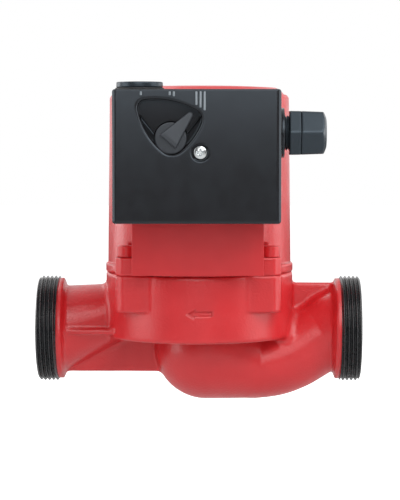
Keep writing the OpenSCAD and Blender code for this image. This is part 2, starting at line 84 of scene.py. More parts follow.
def span(node):
    """Lowest and highest corner of a solid, in mm from the motor axis."""
    low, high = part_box(node)
    return (np.array(low) - AXIS) / MM, (np.array(high) - AXIS) / MM


_, housing_high = span("pump_housing")
_, motor_high = span("stator_housing")
port_face = housing_high[0]
drum_top = housing_high[2]
drum_r = housing_high[1]
motor_top = motor_high[2]
flange_r = motor_high[1]
print("port face", port_face, "drum", drum_r, drum_top, "motor top", motor_top, "flange", flange_r)

# %% [markdown]
# ## Shapes as distance fields
# A casting is a few plain bodies that run into each other with fillets. Booleans leave sharp
# seams, and a bevel modifier fails where many bodies meet. A distance field has no such trouble:
# each body is a function that says how far a point is from its skin, and two bodies are joined
# with a fillet by one formula. The skin where the distance is nought becomes the mesh.

# %% Blocks and rods
def rounded(u, v):
    """Distance to a corner whose two sides are u and v away."""
    outside = np.hypot(np.maximum(u, 0), np.maximum(v, 0))
    return outside + np.minimum(np.maximum(u, v), 0)


def block(low, high, edge=1.0):
    """A box with rounded edges."""
    low, high = np.array(low, float), np.array(high, float)

    def field(p):
        q = np.abs(p - (low + high) / 2) - (high - low) / 2 + edge
        outside = np.sqrt((np.maximum(q, 0) ** 2).sum(1))
        return outside + np.minimum(q.max(1), 0) - edge

    return field


def rod(axis, centre, radius, low, high, edge=0.0):
    """A cylinder along axis 0, 1 or 2 with rounded rims."""
    across = [i for i in range(3) if i != axis]

    def field(p):
        out = np.hypot(p[:, across[0]] - centre[0], p[:, across[1]] - centre[1]) - radius
        along = np.abs(p[:, axis] - (low + high) / 2) - (high - low) / 2
        return rounded(out + edge, along + edge) - edge

    return field


print("blocks and rods have rounded edges")

# %% [markdown]
# Pipes need more than a plain rod. A cone runs straight between two points and changes its radius
# on the way. An upright bar keeps its round sections upright while it rises, as the discharge pipe
# does, so both of its ends stand flat against the drum and the port.

# %% Bars along a line
def cone(start, end, start_r, end_r):
    """A round bar with flat ends, between two points (x, z), whose radius changes evenly."""
    start = np.array([start[0], 0, start[1]], float)
    line = np.array([end[0], 0, end[1]], float) - start
    length = np.sqrt(line @ line)
    line /= length
    slope = (end_r - start_r) / length

    def field(p):
        along = (p - start) @ line
        out = np.sqrt(np.maximum(((p - start) ** 2).sum(1) - along**2, 0))
        side = (out - start_r - slope * along) / np.hypot(1, slope)
        return rounded(side, np.abs(along - length / 2) - length / 2)

    return field


def upright(start, end, start_r, end_r):
    """A slanting bar between two points (x, z) whose round sections all stand upright."""
    lean = (end[1] - start[1]) / (end[0] - start[0])
    slope = (end_r - start_r) / (end[0] - start[0])

    def field(p):
        z = p[:, 2] - start[1] - lean * (p[:, 0] - start[0])
        out = np.maximum(np.hypot(p[:, 1], z), 1e-6)
        side = out - start_r - slope * (p[:, 0] - start[0])
        side = side / np.hypot(1, slope + lean * z / out)
        ends = np.abs(p[:, 0] - (start[0] + end[0]) / 2) - abs(end[0] - start[0]) / 2
        return rounded(side, ends)

    return field


print("straight bars: cone and upright")

# %% [markdown]
# A bend follows an arc, as the waterway does behind the port. A drop is the skin around two balls
# of different size, which is what a pattern maker carves where a pipe turns up into a pump. Both
# could be swept along a curve, but then they wouldn't join the drum with a fillet.

# %% Drops and bends
def drop(start, end, start_r, end_r):
    """The hull of two balls in the XZ plane, a bar whose ends are round."""
    a = np.array([start[0], 0, start[1]], float)
    line = np.array([end[0], 0, end[1]], float) - a
    long = line @ line
    shrink = start_r - end_r

    def field(p):
        away = p - a
        y = away @ line
        across = ((away * long - y[:, None] * line) ** 2).sum(1)
        before, beyond = y**2 * long, (y - long) ** 2 * long
        lean = np.sign(shrink) * shrink**2 * across
        side = (np.sqrt(across * (long - shrink**2) / long) + y * shrink) / long - start_r
        first = np.sqrt(across + before) / long - start_r
        last = np.sqrt(across + beyond) / long - end_r
        flat = long - shrink**2
        result = np.where(np.sign(y) * flat * before < lean, first, side)
        return np.where(np.sign(y - long) * flat * beyond > lean, last, result)

    return field


def bend(centre, bend_r, first, last, first_r, last_r):
    """A round bar along an arc in the XZ plane, between two angles in degrees."""
    middle, half = np.radians((first + last) / 2), np.radians((last - first) / 2)

    def field(p):
        x, z = p[:, 0] - centre[0], p[:, 2] - centre[1]
        turn = (np.arctan2(z, x) - middle + np.pi) % (2 * np.pi) - np.pi
        t = np.clip(turn / half, -1, 1)
        a = middle + t * half
        out = np.sqrt((x - bend_r * np.cos(a)) ** 2 + (z - bend_r * np.sin(a)) ** 2 + p[:, 1] ** 2)
        return out - (first_r + (last_r - first_r) * (t + 1) / 2)

    return field


print("curved bars: drop and bend")

# %% [markdown]
# Everything that was cut from sheet or turned on a lathe starts as a flat outline. The same outline
# is made solid by giving it a thickness, or by turning it about the motor axis or a port's axis.

# %% Outlines, plates and turned bodies
def outline(points):
    """Flat distance to a closed outline, less than nothing inside it."""
    points = np.array(points, float)

    def flat(u, v):
        best = np.full(len(u), np.inf)
        inside = np.zeros(len(u), bool)
        for a, b in zip(points, np.roll(points, -1, axis=0)):
            side = b - a
            t = np.clip(((u - a[0]) * side[0] + (v - a[1]) * side[1]) / (side @ side), 0, 1)
            best = np.minimum(best, np.hypot(u - a[0] - t * side[0], v - a[1] - t * side[1]))
            if a[1] != b[1]:
                crossing = (a[1] > v) != (b[1] > v)
                inside ^= crossing & (u < a[0] + (v - a[1]) * side[0] / side[1])
        return np.where(inside, -best, best)

    return flat


def plate(flat, near, far, edge=0.0):
    """An XZ outline made solid between two distances in front of the motor axis."""

    def field(p):
        depth = np.abs(-p[:, 1] - (near + far) / 2) - (far - near) / 2
        return rounded(flat(p[:, 0], p[:, 2]) + edge, depth + edge) - edge

    return field


def turned(flat):
    """A (radius, height) outline turned about the motor axis."""
    return lambda p: flat(np.hypot(p[:, 0], p[:, 1]), p[:, 2])


def turned_along_x(flat, place=(0, 0)):
    """A (radius, x) outline turned about a line along X that stands at place (y, z)."""
    return lambda p: flat(np.hypot(p[:, 1] - place[0], p[:, 2] - place[1]), p[:, 0])


print("outlines are made solid as plates or by turning")

# %% [markdown]
# A fillet of radius r appears where two bodies are both nearer than r: there the distance is
# measured from a ball that rolls in the corner. Cutting is joining seen from the outside, so the
# same formula rounds an edge that a cut leaves.

# %% Joining and cutting with fillets
def join(first, second, fillet=0.0):
    """Both bodies, with a fillet of that radius in the corner between them."""

    def field(p):
        a, b = first(p), second(p)
        inner = np.hypot(np.maximum(fillet - a, 0), np.maximum(fillet - b, 0))
        return np.maximum(fillet, np.minimum(a, b)) - inner

    return field


def inverse(body):
    """Everything but the body."""
    return lambda p: -body(p)


def cut(body, tool, edge=0.0):
    """The body without the tool, with its new edges rounded."""
    return inverse(join(inverse(body), tool, edge))


def meet(first, second, edge=0.0):
    """What both bodies hold, with the edges between them rounded."""
    return inverse(join(inverse(first), inverse(second), edge))


def any_of(*bodies):
    """All of the bodies, with no fillets."""
    return lambda p: np.min([body(p) for body in bodies], axis=0)


def mirrored(axis, body):
    """The body and its mirror image about the motor axis."""

    def field(p):
        q = p.copy()
        q[:, axis] = np.abs(q[:, axis])
        return body(q)

    return field


print("fields are joined, cut and met with a radius of their own")

# %% [markdown]
# ## From field to mesh
# Blender's voxel remesh could skin such a body, but it leaves steps on slopes. Here the field is
# known at every point, so the skin can be exact: a grid finds the cells that the skin crosses,
# each such cell gets one vertex, set on the edge or corner that the slopes around it point to,
# and each vertex is then slid along the field's slope until its distance is nought. The same
# slope gives the shading normals.

# %% A grid near the skin
BLOCK = 8            # grid cells along one side of a block
CHUNK = 60000        # points worked out at once
RIM = 1.5            # the grid goes this many steps past the box
SPARE = (1.25, 0.3)  # a block is kept if the skin is within its reach times this, plus this many mm


def in_chunks(body, points):
    """A field at many points, a chunk at a time."""
    parts = [body(points[i : i + CHUNK]) for i in range(0, len(points), CHUNK)]
    return np.concatenate(parts)


def ruler(low, high, step, windows):
    """Grid lines from low to high, a step apart, and closer inside windows (start, end, step)."""
    lines = [low - RIM * step]
    while lines[-1] < high + RIM * step or len(lines) % BLOCK:
        here = [w[2] for w in windows if w[0] <= lines[-1] < w[1]]
        lines.append(lines[-1] + min(here, default=step))
    return np.array(lines)


def grid_of(body, rulers):
    """The field on a grid, worked out only in the blocks that the skin may cross."""
    firsts = [lines[::BLOCK] for lines in rulers]
    lasts = [lines[BLOCK - 1 :: BLOCK] for lines in rulers]
    index = np.indices([len(f) for f in firsts]).reshape(3, -1).T
    low = np.stack([f[i] for f, i in zip(firsts, index.T)], 1)
    high = np.stack([f[i] for f, i in zip(lasts, index.T)], 1)
    near = in_chunks(body, (low + high) / 2)
    grid = np.where(near < 0, -1.0, 1.0).reshape([len(f) for f in firsts])
    grid = grid.repeat(BLOCK, 0).repeat(BLOCK, 1).repeat(BLOCK, 2)
    reach = np.sqrt(((high - low) ** 2).sum(1)) / 2
    kept = index[np.abs(near) < reach * SPARE[0] + SPARE[1]]
    inner = np.indices((BLOCK,) * 3).reshape(3, -1).T
    cells = (kept[:, None] * BLOCK + inner).reshape(-1, 3)
    points = np.stack([lines[i] for lines, i in zip(rulers, cells.T)], 1)
    grid[tuple(cells.T)] = in_chunks(body, points)
    return grid


print("the grid is worked out in blocks of", BLOCK, "cells a side")

# %% [markdown]
# A grid alone would cut every edge off, because its vertices sit in the middle of their cells. The
# slope of the field shows which way each patch of skin looks. Where the patches around a cell look
# different ways, there is an edge between them, and the vertex belongs where their planes meet.

# %% Slopes and edges
HOLD = 0.003         # how strongly a vertex is held to the middle where the planes leave it free


def slopes(body, points, reach=0.04):
    """The field's slope at each point, from four points of a small tetrahedron around it."""
    corners = np.array([[1, -1, -1], [-1, -1, 1], [-1, 1, -1], [1, 1, 1]])
    total = np.zeros_like(points)
    for corner in corners:
        total += corner * in_chunks(body, points + reach * corner)[:, None]
    return total / (4 * reach)


def meeting_points(body, spots, owners, count):
    """For each cell, the point where the planes of the skin at its crossings meet.

    On a flat face that is the middle of the crossings; at an edge it lies on the edge.
    """
    slope = slopes(body, spots)
    slope /= np.maximum(np.sqrt((slope**2).sum(1)), 1e-9)[:, None]
    gathered = lambda values: sum(np.bincount(owners[:, k], values, count) for k in range(4))
    hits = gathered(np.ones(len(spots)))
    middle = np.stack([gathered(spots[:, i]) for i in range(3)], 1) / hits[:, None]
    level = (slope * spots).sum(1)
    wanted = np.stack([gathered(slope[:, i] * level) for i in range(3)], 1)
    planes = np.stack([np.stack([gathered(slope[:, i] * slope[:, j]) for j in range(3)], 1)
                       for i in range(3)], 1)
    wanted -= np.einsum("nij,nj->ni", planes, middle)
    planes += HOLD * hits[:, None, None] * np.eye(3)
    return middle + np.linalg.solve(planes, wanted[..., None])[..., 0]


print("slopes give the edges and the shading normals")

# %% [markdown]
# The skin is collected along the three directions of the grid. Each grid line that goes in or out
# of the body gives one face, between the four cells around it. Large plain walls are skinned
# coarsely, and windows with finer steps are opened only where an edge or a sign needs them, so that
# no piece has more faces than it shows.

# %% Skin a field
SLIDES = 2           # times that each vertex is slid onto the skin
LEAST_STEEP = 0.1    # slope, squared, below which a vertex moves no further
NORMAL_REACH = 0.5   # normals are averaged over this part of a step


def skin(body, low, high, step, fine=((), (), ())):
    """Vertices, four-sided faces and normals of the body's skin; fine has windows per axis."""
    rulers = [ruler(a, b, step, windows) for a, b, windows in zip(low, high, fine)]
    grid = grid_of(body, rulers)
    size = np.array(grid.shape) - 1
    corners = np.array([(i, j, k) for i in (0, 1) for j in (0, 1) for k in (0, 1)])
    sign = grid < 0
    total = np.zeros(size, np.int8)
    for i, j, k in corners:
        total += sign[i : size[0] + i, j : size[1] + j, k : size[2] + k]
    cells = np.argwhere((total > 0) & (total < 8))
    number = np.full(size, -1)
    number[tuple(cells.T)] = np.arange(len(cells))
    faces, spots, owners = [], [], []
    for axis in range(3):
        u, v = (axis + 1) % 3, (axis + 2) % 3
        along = np.eye(3, dtype=int)
        first = sign[tuple(slice(0, -1) if i == axis else slice(1, -1) for i in range(3))]
        second = sign[tuple(slice(1, None) if i == axis else slice(1, -1) for i in range(3))]
        base = np.argwhere(first != second) + along[u] + along[v]
        ring = [base - along[u] - along[v], base - along[v], base, base - along[u]]
        quad = np.stack([number[tuple(r.T)] for r in ring], 1)
        outward = sign[tuple(base.T)]
        faces.append(np.where(outward[:, None], quad, quad[:, ::-1]))
        near, far = grid[tuple(base.T)], grid[tuple((base + along[axis]).T)]
        spot = np.stack([lines[i] for lines, i in zip(rulers, base.T)], 1)
        gap = rulers[axis][base[:, axis] + 1] - spot[:, axis]
        spot[:, axis] += gap * near / (near - far)
        spots.append(spot)
        owners.append(quad)
    points = meeting_points(body, np.concatenate(spots), np.concatenate(owners), len(cells))
    corner = [np.stack([lines[i + k] for lines, i in zip(rulers, cells.T)], 1) for k in (0, 1)]
    points = np.clip(points, *corner)
    for _ in range(SLIDES):
        slope = slopes(body, points)
        steep = np.maximum((slope**2).sum(1), LEAST_STEEP)
        move = in_chunks(body, points) / steep
        points = points - slope * np.clip(move, -step / 2, step / 2)[:, None]
    return points, np.concatenate(faces), slopes(body, points, NORMAL_REACH * step)


print("skin() turns a field into a mesh")

# %% [markdown]
# ## Pieces on their bodies
# Every dressed piece rides on a body of the frame, hides the solid that it stands for and takes the
# finish of that solid's material slot. One function does all of that, so no piece is forgotten.

# %% Make a piece from points and faces
def smooth_mesh(name, points, faces, normals=None):
    """A mesh from points in mm from the motor axis, shaded smooth."""
    mesh = bpy.data.meshes.new(name)
    mesh.from_pydata((np.array(points) * MM + AXIS).tolist(), [], np.array(faces).tolist())
    mesh.shade_smooth()
    if normals is not None:
        lengths = np.maximum(np.sqrt((normals**2).sum(1)), 1e-9)
        mesh.normals_split_custom_set_from_vertices((normals / lengths[:, None]).tolist())
    return mesh


def piece(name, mesh, node, stands_for=True, body="pump", look=None):
    """An object with the finish of a solid, which it stands for, riding on the solid's body."""
    obj = bpy.data.objects.new(name, mesh)
    bpy.context.scene.collection.objects.link(obj)
    slot = SLOTS.get(node, node)
    mesh.materials.append(FINISHES[look or slot])
    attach(obj, body)
    if stands_for:
        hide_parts(node)
    print(f"{name}: {len(mesh.polygons)} faces")
    return obj


def carve(name, shape, node, step, fine=((), (), ()), **options):
    """A piece skinned from a field inside the box of the solid that it stands for."""
    points, faces, normals = skin(shape, *span(node), step, fine)
    return piece(name, smooth_mesh(name, points, faces, normals), node, **options)


# %% [markdown]
# ## Colours and materials
# Each finish is one Principled shader. Its colour is written as an sRGB hex value, as a paint
# chart gives it, and turned to linear light by one function. Noise at the real size of the grain
# moves the roughness and the bump, so that no surface is flat. `add` places a node, sets its
# inputs and links it in one line.

# %% Shader helpers
def linear(code):
    """An sRGB hex colour as linear RGBA."""
    values = [int(code[i : i + 2], 16) / 255 for i in (1, 3, 5)]
    return [v / 12.92 if v < 0.04045 else ((v + 0.055) / 1.055) ** 2.4 for v in values] + [1.0]


def add(tree, kind, settings=None, **inputs):
    """A node with its settings, and its inputs set to values or linked to sockets."""
    node = tree.nodes.new(kind)
    for name, value in (settings or {}).items():
        setattr(node, name, value)
    for name, value in inputs.items():
        name = int(name[1:]) if name[0] == "i" and name[1:].isdigit() else name.replace("_", " ")
        if isinstance(value, bpy.types.NodeSocket):
            tree.links.new(value, node.inputs[name])
        else:
            node.inputs[name].default_value = value
    return node


print("colours are linear, nodes are added with one function")

# %% [markdown]
# A finish on a real part is never even: a spray coat is thicker in one place, a mould is polished
# more in another, hands and dust change the gloss. So each finish has three scales of noise: wide
# patches that move the colour between two close values, smaller ones that move the roughness, and
# the grain itself, which goes into the bump. The noise is fixed to the piece, so it stays in
# place when the piece moves.

# %% Noise, ranges and tints
PATCH_MM, WEAR_MM = 18, 6        # sizes of the colour patches and of the worn patches


def grain(tree, size_mm, detail=2.0, rough=0.5):
    """Noise between 0 and 1 whose lumps are about size_mm across."""
    place = add(tree, "ShaderNodeTexCoord").outputs["Object"]
    noise = add(tree, "ShaderNodeTexNoise", Vector=place, Scale=1 / (size_mm * MM))
    noise.inputs["Detail"].default_value = detail
    noise.inputs["Roughness"].default_value = rough
    return noise.outputs[0]


def between(tree, factor, low, high, start=0.35, end=0.65):
    """A value that goes from low to high as the factor goes from start to end."""
    node = add(tree, "ShaderNodeMapRange", Value=factor)
    node.inputs["From Min"].default_value = start
    node.inputs["From Max"].default_value = end
    node.inputs["To Min"].default_value = low
    node.inputs["To Max"].default_value = high
    return node.outputs[0]


def tint(tree, factor, first, second):
    """A colour between two hex colours."""
    mix = add(tree, "ShaderNodeMix", {"data_type": "RGBA"})
    tree.links.new(factor, mix.inputs["Factor"])
    mix.inputs["A"].default_value = linear(first)
    mix.inputs["B"].default_value = linear(second)
    return mix.outputs["Result"]


print("colour patches of", PATCH_MM, "mm, worn patches of", WEAR_MM, "mm")

# %% [markdown]
# With those three, a finish is a few numbers: two colours, the range of the roughness, the sizes
# and heights of its bumps, and any other value of the shader, such as a clear coat. Two bumps are
# chained, so that fine grain lies on wider waves, as it does on painted iron.

# %% One finish
def finish(name, colours, rough, bumps=(), **constants):
    """A Principled material: two hex colours, a roughness range and bumps (size, height in mm)."""
    material = bpy.data.materials.new(name)
    material.use_nodes = True
    tree = material.node_tree
    shader = tree.nodes["Principled BSDF"]
    tree.links.new(tint(tree, between(tree, grain(tree, PATCH_MM), 0, 1), *colours),
                   shader.inputs["Base Color"])
    tree.links.new(between(tree, grain(tree, WEAR_MM), *rough), shader.inputs["Roughness"])
    normal = None
    for size_mm, height_mm in bumps:
        bump = add(tree, "ShaderNodeBump", Height=grain(tree, size_mm), Distance=height_mm * MM)
        if normal:
            tree.links.new(normal, bump.inputs["Normal"])
        normal = bump.outputs["Normal"]
    if normal:
        tree.links.new(normal, shader.inputs["Normal"])
    for socket, value in constants.items():
        shader.inputs[socket.replace("_", " ")].default_value = value
    return material


print("finish() makes one Principled material")

# %% [markdown]
# ## The finishes
# Each is named for the real one, and its values start from what is usual for that material.
#
# - Enamel on cast iron: a thick semi-gloss coat of stoving enamel. The sand of the mould leaves it
#   uneven, so it has waves of about 7 mm and grain of about 1 mm. A thin clear layer on top gives
#   the wide soft shine at the turned-away sides.
# - Enamel on sheet steel: the same red, but much flatter, because the rolled sheet is smooth.
# - Blackened iron on the threads: a dark oxide skin with oil in it, so it shines like lacquer and
#   not like bare metal. That is why it isn't metallic, and has an IOR of 1.6.
# - Moulded glass-filled nylon (box, plug, gland, knob): near black, with a fine spark-eroded grain
#   of 0.6 to 0.8 mm that spreads the highlights. The shine of such dark plastic is cool, so the
#   specular tint is a pale blue. Each moulding comes from its own tool, so each has its own gloss.
# - Pale nylon on the raised speed marks: a painted highlight, which stands for the light that their
#   edges catch.
# - Zinc-plated steel is bright and a little cool, stainless steel is warmer, brass is a dull
#   yellow. All three are true metals and keep the default IOR.
# - Lacquered copper wire, carbon bearings, ivory and black mouldings and rubber are for the inner
#   parts. They are seen only when the pump is opened, but they are finished all the same.
#
# Grain of less than about 0.5 mm wouldn't show at this size, so none is drawn finer than that.

# %% Make the finishes
ENAMEL = ("#d0282d", "#c92429")
FINISHES = {
    "red_enamel": finish("cast_iron_enamel", ENAMEL, (0.32, 0.38), [(7, 0.05), (1.1, 0.2)],
                         Coat_Weight=0.25, Coat_Roughness=0.18),
    "red_plate": finish("sheet_steel_enamel", ENAMEL, (0.32, 0.38), [(14, 0.12), (0.8, 0.01)]),
    "dark_iron": finish("blackened_iron", ("#1b1c1e", "#202124"), (0.22, 0.3), [(0.5, 0.02)],
                        IOR=1.6),
    "stainless": finish("stainless_steel", ("#b9b6b1", "#c5c2bd"), (0.24, 0.36), [(0.6, 0.01)],
                        Metallic=1.0),
    "zinc_steel": finish("zinc_plated_steel", ("#dce0e1", "#d0d5d7"), (0.18, 0.3), [(0.5, 0.02)],
                         Metallic=1.0),
    "brass": finish("turned_brass", ("#b18d4e", "#a37f42"), (0.3, 0.42), [(0.5, 0.01)],
                    Metallic=1.0),
    "copper_winding": finish("enamelled_copper_wire", ("#b0602c", "#8f4a20"), (0.3, 0.42),
                             [(1.2, 0.35)], Metallic=0.8),
    "bearing_carbon": finish("bearing_carbon", ("#2b2b2d", "#343436"), (0.36, 0.5), [(0.5, 0.02)]),
    "impeller_plastic": finish("moulded_impeller", ("#d8c9a2", "#cdbd93"), (0.4, 0.5),
                               [(1.0, 0.02)]),
    "seal_rubber": finish("seal_rubber", ("#1d1e20", "#232426"), (0.6, 0.75), [(0.8, 0.04)]),
    "grey_rubber": finish("grey_rubber", ("#8d8f91", "#858789"), (0.6, 0.72), [(0.8, 0.04)]),
    "black_plastic": finish("moulded_nylon_black", ("#1f1d1e", "#201f20"), (0.2, 0.24),
                            [(0.7, 0.01)], Specular_Tint=linear("#cfe2f2")),
    "knob_plastic": finish("moulded_nylon_knob", ("#323438", "#36383c"), (0.3, 0.36),
                           [(0.6, 0.02)], Specular_Tint=linear("#dfe8f0")),
    "gland_nylon": finish("moulded_nylon_gland", ("#2f353a", "#32383d"), (0.28, 0.34),
                          [(0.8, 0.015)], Specular_Tint=linear("#c8dcec")),
    # The pale grey of the speed marks is a painted highlight, for the light on their edges.
    "mark_grey": finish("pale_nylon_marks_painted_highlight", ("#868e94", "#7c848a"), (0.3, 0.36), [(0.6, 0.02)]),
    "ivory_plastic": finish("moulded_ivory", ("#e4dcc6", "#dcd3bb"), (0.4, 0.5), [(1.0, 0.02)]),
}
SLOTS = {part["node"]: part["material_slot"] for part in frame["record"]["subparts"]}

cover_finish = FINISHES["black_plastic"].copy()
cover_finish.name = "moulded_nylon_cover"
FINISHES["cover_plastic"] = cover_finish
for name, slot_name in SLOTS.items():
    node = frame["nodes"][name]
    node.data.materials.clear()
    node.data.materials.append(FINISHES[slot_name])
print("finishes:", len(FINISHES), "on", len(SLOTS), "solids")

# %% [markdown]
# ## The cast housing
# The casting is one body: a drum for the volute, a belly under it where the water turns up into
# the impeller, a bent suction pipe, a rising discharge pipe, stiffening webs and four bosses for
# the motor screws. A pattern maker rounds every inner corner, so each join has its own fillet.

# %% Sizes of the casting
PIPE_R = 24.2            # outside of the suction pipe behind its collar
WALL_R = 20.0            # outside of the suction pipe past its first bend
WAY_R = 15.0             # inside of the suction pipe
COLLAR_R = 28.2
COLLAR = (76.3, 79.0)    # the collar behind each thread starts and ends here
FLARE = 1.8              # length of the flare from the pipe out to the collar
DROP = 32.0              # degrees that the suction pipe drops at
FIRST_BEND = ((82.5, -24.0), 24.0)    # centre and radius of the bend behind the suction port
SECOND_BEND_R = 50.0                  # radius of the bend into the level run
LEVEL_Z, LEVEL_X = -19.5, 30.07       # height of the level run, and where it starts
DRUM_BOTTOM, LIP = -3.8, 1.5
BELLY, BELLY_R = (3.7, -11.2), 28.5   # the ball under the impeller
EYE = 20.0               # radius of the bend up into the impeller
NECK_FROM = 44.0         # from here on the suction pipe runs into the drum's side more softly
WEB_T = 5.0
RIB_T = 2.8
LUG_IN, LUG_OUT = 25.5, 45.0
LUG_CHAMFER = 3.5
BOSS_Z = 12.7            # the screw bosses reach down to here
SCREW = 39.0             # the motor screws are this far to each side of the axis
FILLET = {"belly": 0.5, "pipes": 2.5, "neck": 5.5, "discharge": 3.0, "webs": 2.2, "rib": 1.6,
          "bosses": 0.8, "ports": 1.2}
print("casting: suction pipe drops at", DROP, "degrees to", LEVEL_Z, "mm")

# %% [markdown]
# The suction pipe bends down behind its port, drops at an angle and bends back into a level run
# under the drum. Its outside and its waterway follow the same line, so one function makes both.
# A port's end is turned, so it starts from an outline. The four corner lugs are one block that is
# mirrored twice.

# %% Pipe, ports and lugs
def suction_run(port_r, run_r):
    """The bent pipe from the suction port to its level run."""
    centre, bend_r = FIRST_BEND
    end = (centre[0] - bend_r * np.sin(np.radians(DROP)),
           centre[1] + bend_r * np.cos(np.radians(DROP)))
    low = (LEVEL_X, LEVEL_Z + SECOND_BEND_R)
    foot = (low[0] + SECOND_BEND_R * np.sin(np.radians(DROP)),
            low[1] - SECOND_BEND_R * np.cos(np.radians(DROP)))
    return any_of(
        bend(centre, bend_r, 90, 90 + DROP, port_r, run_r),
        cone(end, foot, run_r, run_r),
        bend(low, SECOND_BEND_R, -90, -90 + DROP, run_r, run_r),
    )


def port_end(side):
    """Thread core, collar and flare of one port, with corners of radius 0.5."""
    corner = 0.5
    thin, core_r = PIPE_R - 1.4 - corner, 27.6 - corner
    flat = outline([
        (-9, COLLAR[0] - FLARE - 0.6 + corner), (thin, COLLAR[0] - FLARE - 0.6 + corner),
        (COLLAR_R - corner, COLLAR[0] + 0.2), (COLLAR_R - corner, COLLAR[1] - corner),
        (core_r, COLLAR[1] - corner), (core_r, port_face - 1), (-9, port_face - 1)])
    core = turned_along_x(flat)
    return lambda p: core(p * (side, 1, 1)) - corner


def lug(low, high, edge):
    """A corner lug with a chamfered outer corner, between two heights."""
    box = block((LUG_IN, LUG_IN, low), (LUG_OUT, LUG_OUT, high), edge)
    corner = lambda p: (p[:, 0] + p[:, 1] - 2 * LUG_OUT + LUG_CHAMFER) / np.sqrt(2)
    return mirrored(0, mirrored(1, meet(box, corner, edge)))


print("suction pipe, port ends and corner lugs are ready to join")

# %% [markdown]
# The order of joining matters. The pipes go into the drum first, with the widest fillet where the
# suction pipe meets its side, then the discharge pipe, the webs and the rib. The bosses come last,
# because a pattern maker screws them on and fills only a narrow corner around them. Sand also
# leaves long low waves on a casting, which break up its reflections; they are added to the field
# itself, so that the mesh has them and not only the bump.

# %% Join the casting
drum = rod(2, (0, 0), drum_r, DRUM_BOTTOM, drum_top, LIP)
belly = drop(BELLY, (LEVEL_X, LEVEL_Z), BELLY_R, WALL_R)
suction = meet(suction_run(PIPE_R, WALL_R), block((-90, -60, -60), (82.5, 60, 60), 0))
discharge = upright((-77.5, -0.6), (-40, 10.4), 24.3, 15.2)
end = COLLAR[0]
lower_web = plate(outline([(-end, -24.4), (-15, -24.4), (-12, -8), (-44, 0), (-end, -6)]),
                  -WEB_T / 2, WEB_T / 2, 0.9)
upper_web = plate(outline([(end, 25.8), (44, 25.8), (44, -8), (60, -8), (end, 4)]),
                  -WEB_T / 2, WEB_T / 2, 0.9)
rib = block((-77, -PIPE_R + 0.5, -RIB_T / 2), (-42, PIPE_R - 0.5, RIB_T / 2), 0.6)

pipes = join(belly, suction, FILLET["belly"])
neck = meet(suction, lambda p: NECK_FROM - p[:, 0], 0)
casting = any_of(join(drum, pipes, FILLET["pipes"]), join(drum, neck, FILLET["neck"]))
casting = join(casting, discharge, FILLET["discharge"])
casting = join(casting, any_of(lower_web, upper_web), FILLET["webs"])
casting = join(casting, rib, FILLET["rib"])
casting = join(casting, lug(BOSS_Z, drum_top + 2, 1.1), FILLET["bosses"])
casting = meet(casting, lambda p: p[:, 2] - drum_top, 0.3)
casting = join(casting, any_of(port_end(1), port_end(-1)), FILLET["ports"])


WAVES, WAVE_GAIN = 9, 1.6        # waves that are added up; their mean is lower than one wave
SAND_MM, SAND_HEIGHT = 16, 0.07  # length and height of the waves that sand leaves


def wavy(body, size_mm, height_mm, seed):
    """The body with low waves on its skin, each in a direction and of a length of its own."""
    random = np.random.default_rng(seed)
    directions = random.normal(size=(WAVES, 3))
    directions /= np.sqrt((directions**2).sum(1))[:, None]
    lengths = size_mm * random.uniform(0.6, 1.6, WAVES)
    phases = random.uniform(0, 2 * np.pi, WAVES)

    def field(p):
        waves = np.sin(p @ (directions * 2 * np.pi / lengths[:, None]).T + phases)
        return body(p) + height_mm * waves.mean(1) * WAVE_GAIN

    return field


casting = wavy(casting, SAND_MM, SAND_HEIGHT, seed=4)
print("casting: drum, belly, suction, discharge, webs, rib, bosses and ports")

# %% [markdown]
# ## Waterways
# The way in and the way out are cut through the casting, together with the volute, the seat for
# the motor and the screw holes. They show at the ports, so they have to be open there. The arrow
# that shows the way of the flow is sunk into the drum, as a raised letter on the pattern leaves
# it, with its floor as round as the drum. The grid is finer there.

# %% Cut the waterways and skin the casting
SEAT_Z, SEAT_R = 28.0, 48.6      # the motor's spigot sits in here
VOLUTE, VOLUTE_R = (3.0, 25.0), 41.0
BORE_R = 16.0                    # of each port, as it is cast
RISE, RISE_END_R = ((-80, 0), (-75.5, 0), (-36, 11.5)), 8.7    # middle of the discharge's waterway
EYE_R, TAPPED_R = 18.0, 3.05     # holes for the impeller's eye and for the motor screws
ARROW_Z, ARROW_DEPTH = 12.6, 1.0
HOUSING_STEP, LIP_STEP, ARROW_STEP = 1.28, 0.6, 0.3
ways = any_of(
    suction_run(WAY_R, WAY_R),
    cone((LEVEL_X + 1, LEVEL_Z), (EYE, LEVEL_Z), WAY_R, WAY_R),
    bend((EYE, 0.5), EYE, -180, -90, WAY_R, WAY_R),
    upright(RISE[0], RISE[1], WAY_R, WAY_R),
    upright(RISE[1], RISE[2], WAY_R, RISE_END_R),
    mirrored(0, rod(0, (0, 0), BORE_R, 77, port_face + 5)),
    rod(2, (0, 0), EYE_R, 0.5, 4.0),
    rod(2, (0, 0), VOLUTE_R, *VOLUTE),
    rod(2, (0, 0), VOLUTE_R + 1, VOLUTE[1] - 1, SEAT_Z + 1),
    rod(2, (0, 0), SEAT_R, SEAT_Z, drum_top + 5),
    mirrored(0, mirrored(1, rod(2, (SCREW, SCREW), TAPPED_R, BOSS_Z + 3, drum_top + 5))),
)
casting = cut(casting, ways, 0.6)
arrow = outline([(-5.6, ARROW_Z), (-1.5, ARROW_Z + 2.3), (-1.5, ARROW_Z + 1.3),
                 (7.5, ARROW_Z + 1.3), (7.5, ARROW_Z - 1.3), (-1.5, ARROW_Z - 1.3),
                 (-1.5, ARROW_Z - 2.3)])
arrow_sunk = meet(plate(arrow, drum_r - 6, drum_r + 4),
                  inverse(rod(2, (0, 0), drum_r - ARROW_DEPTH, -60, 60)))
casting = cut(casting, arrow_sunk, 0.25)
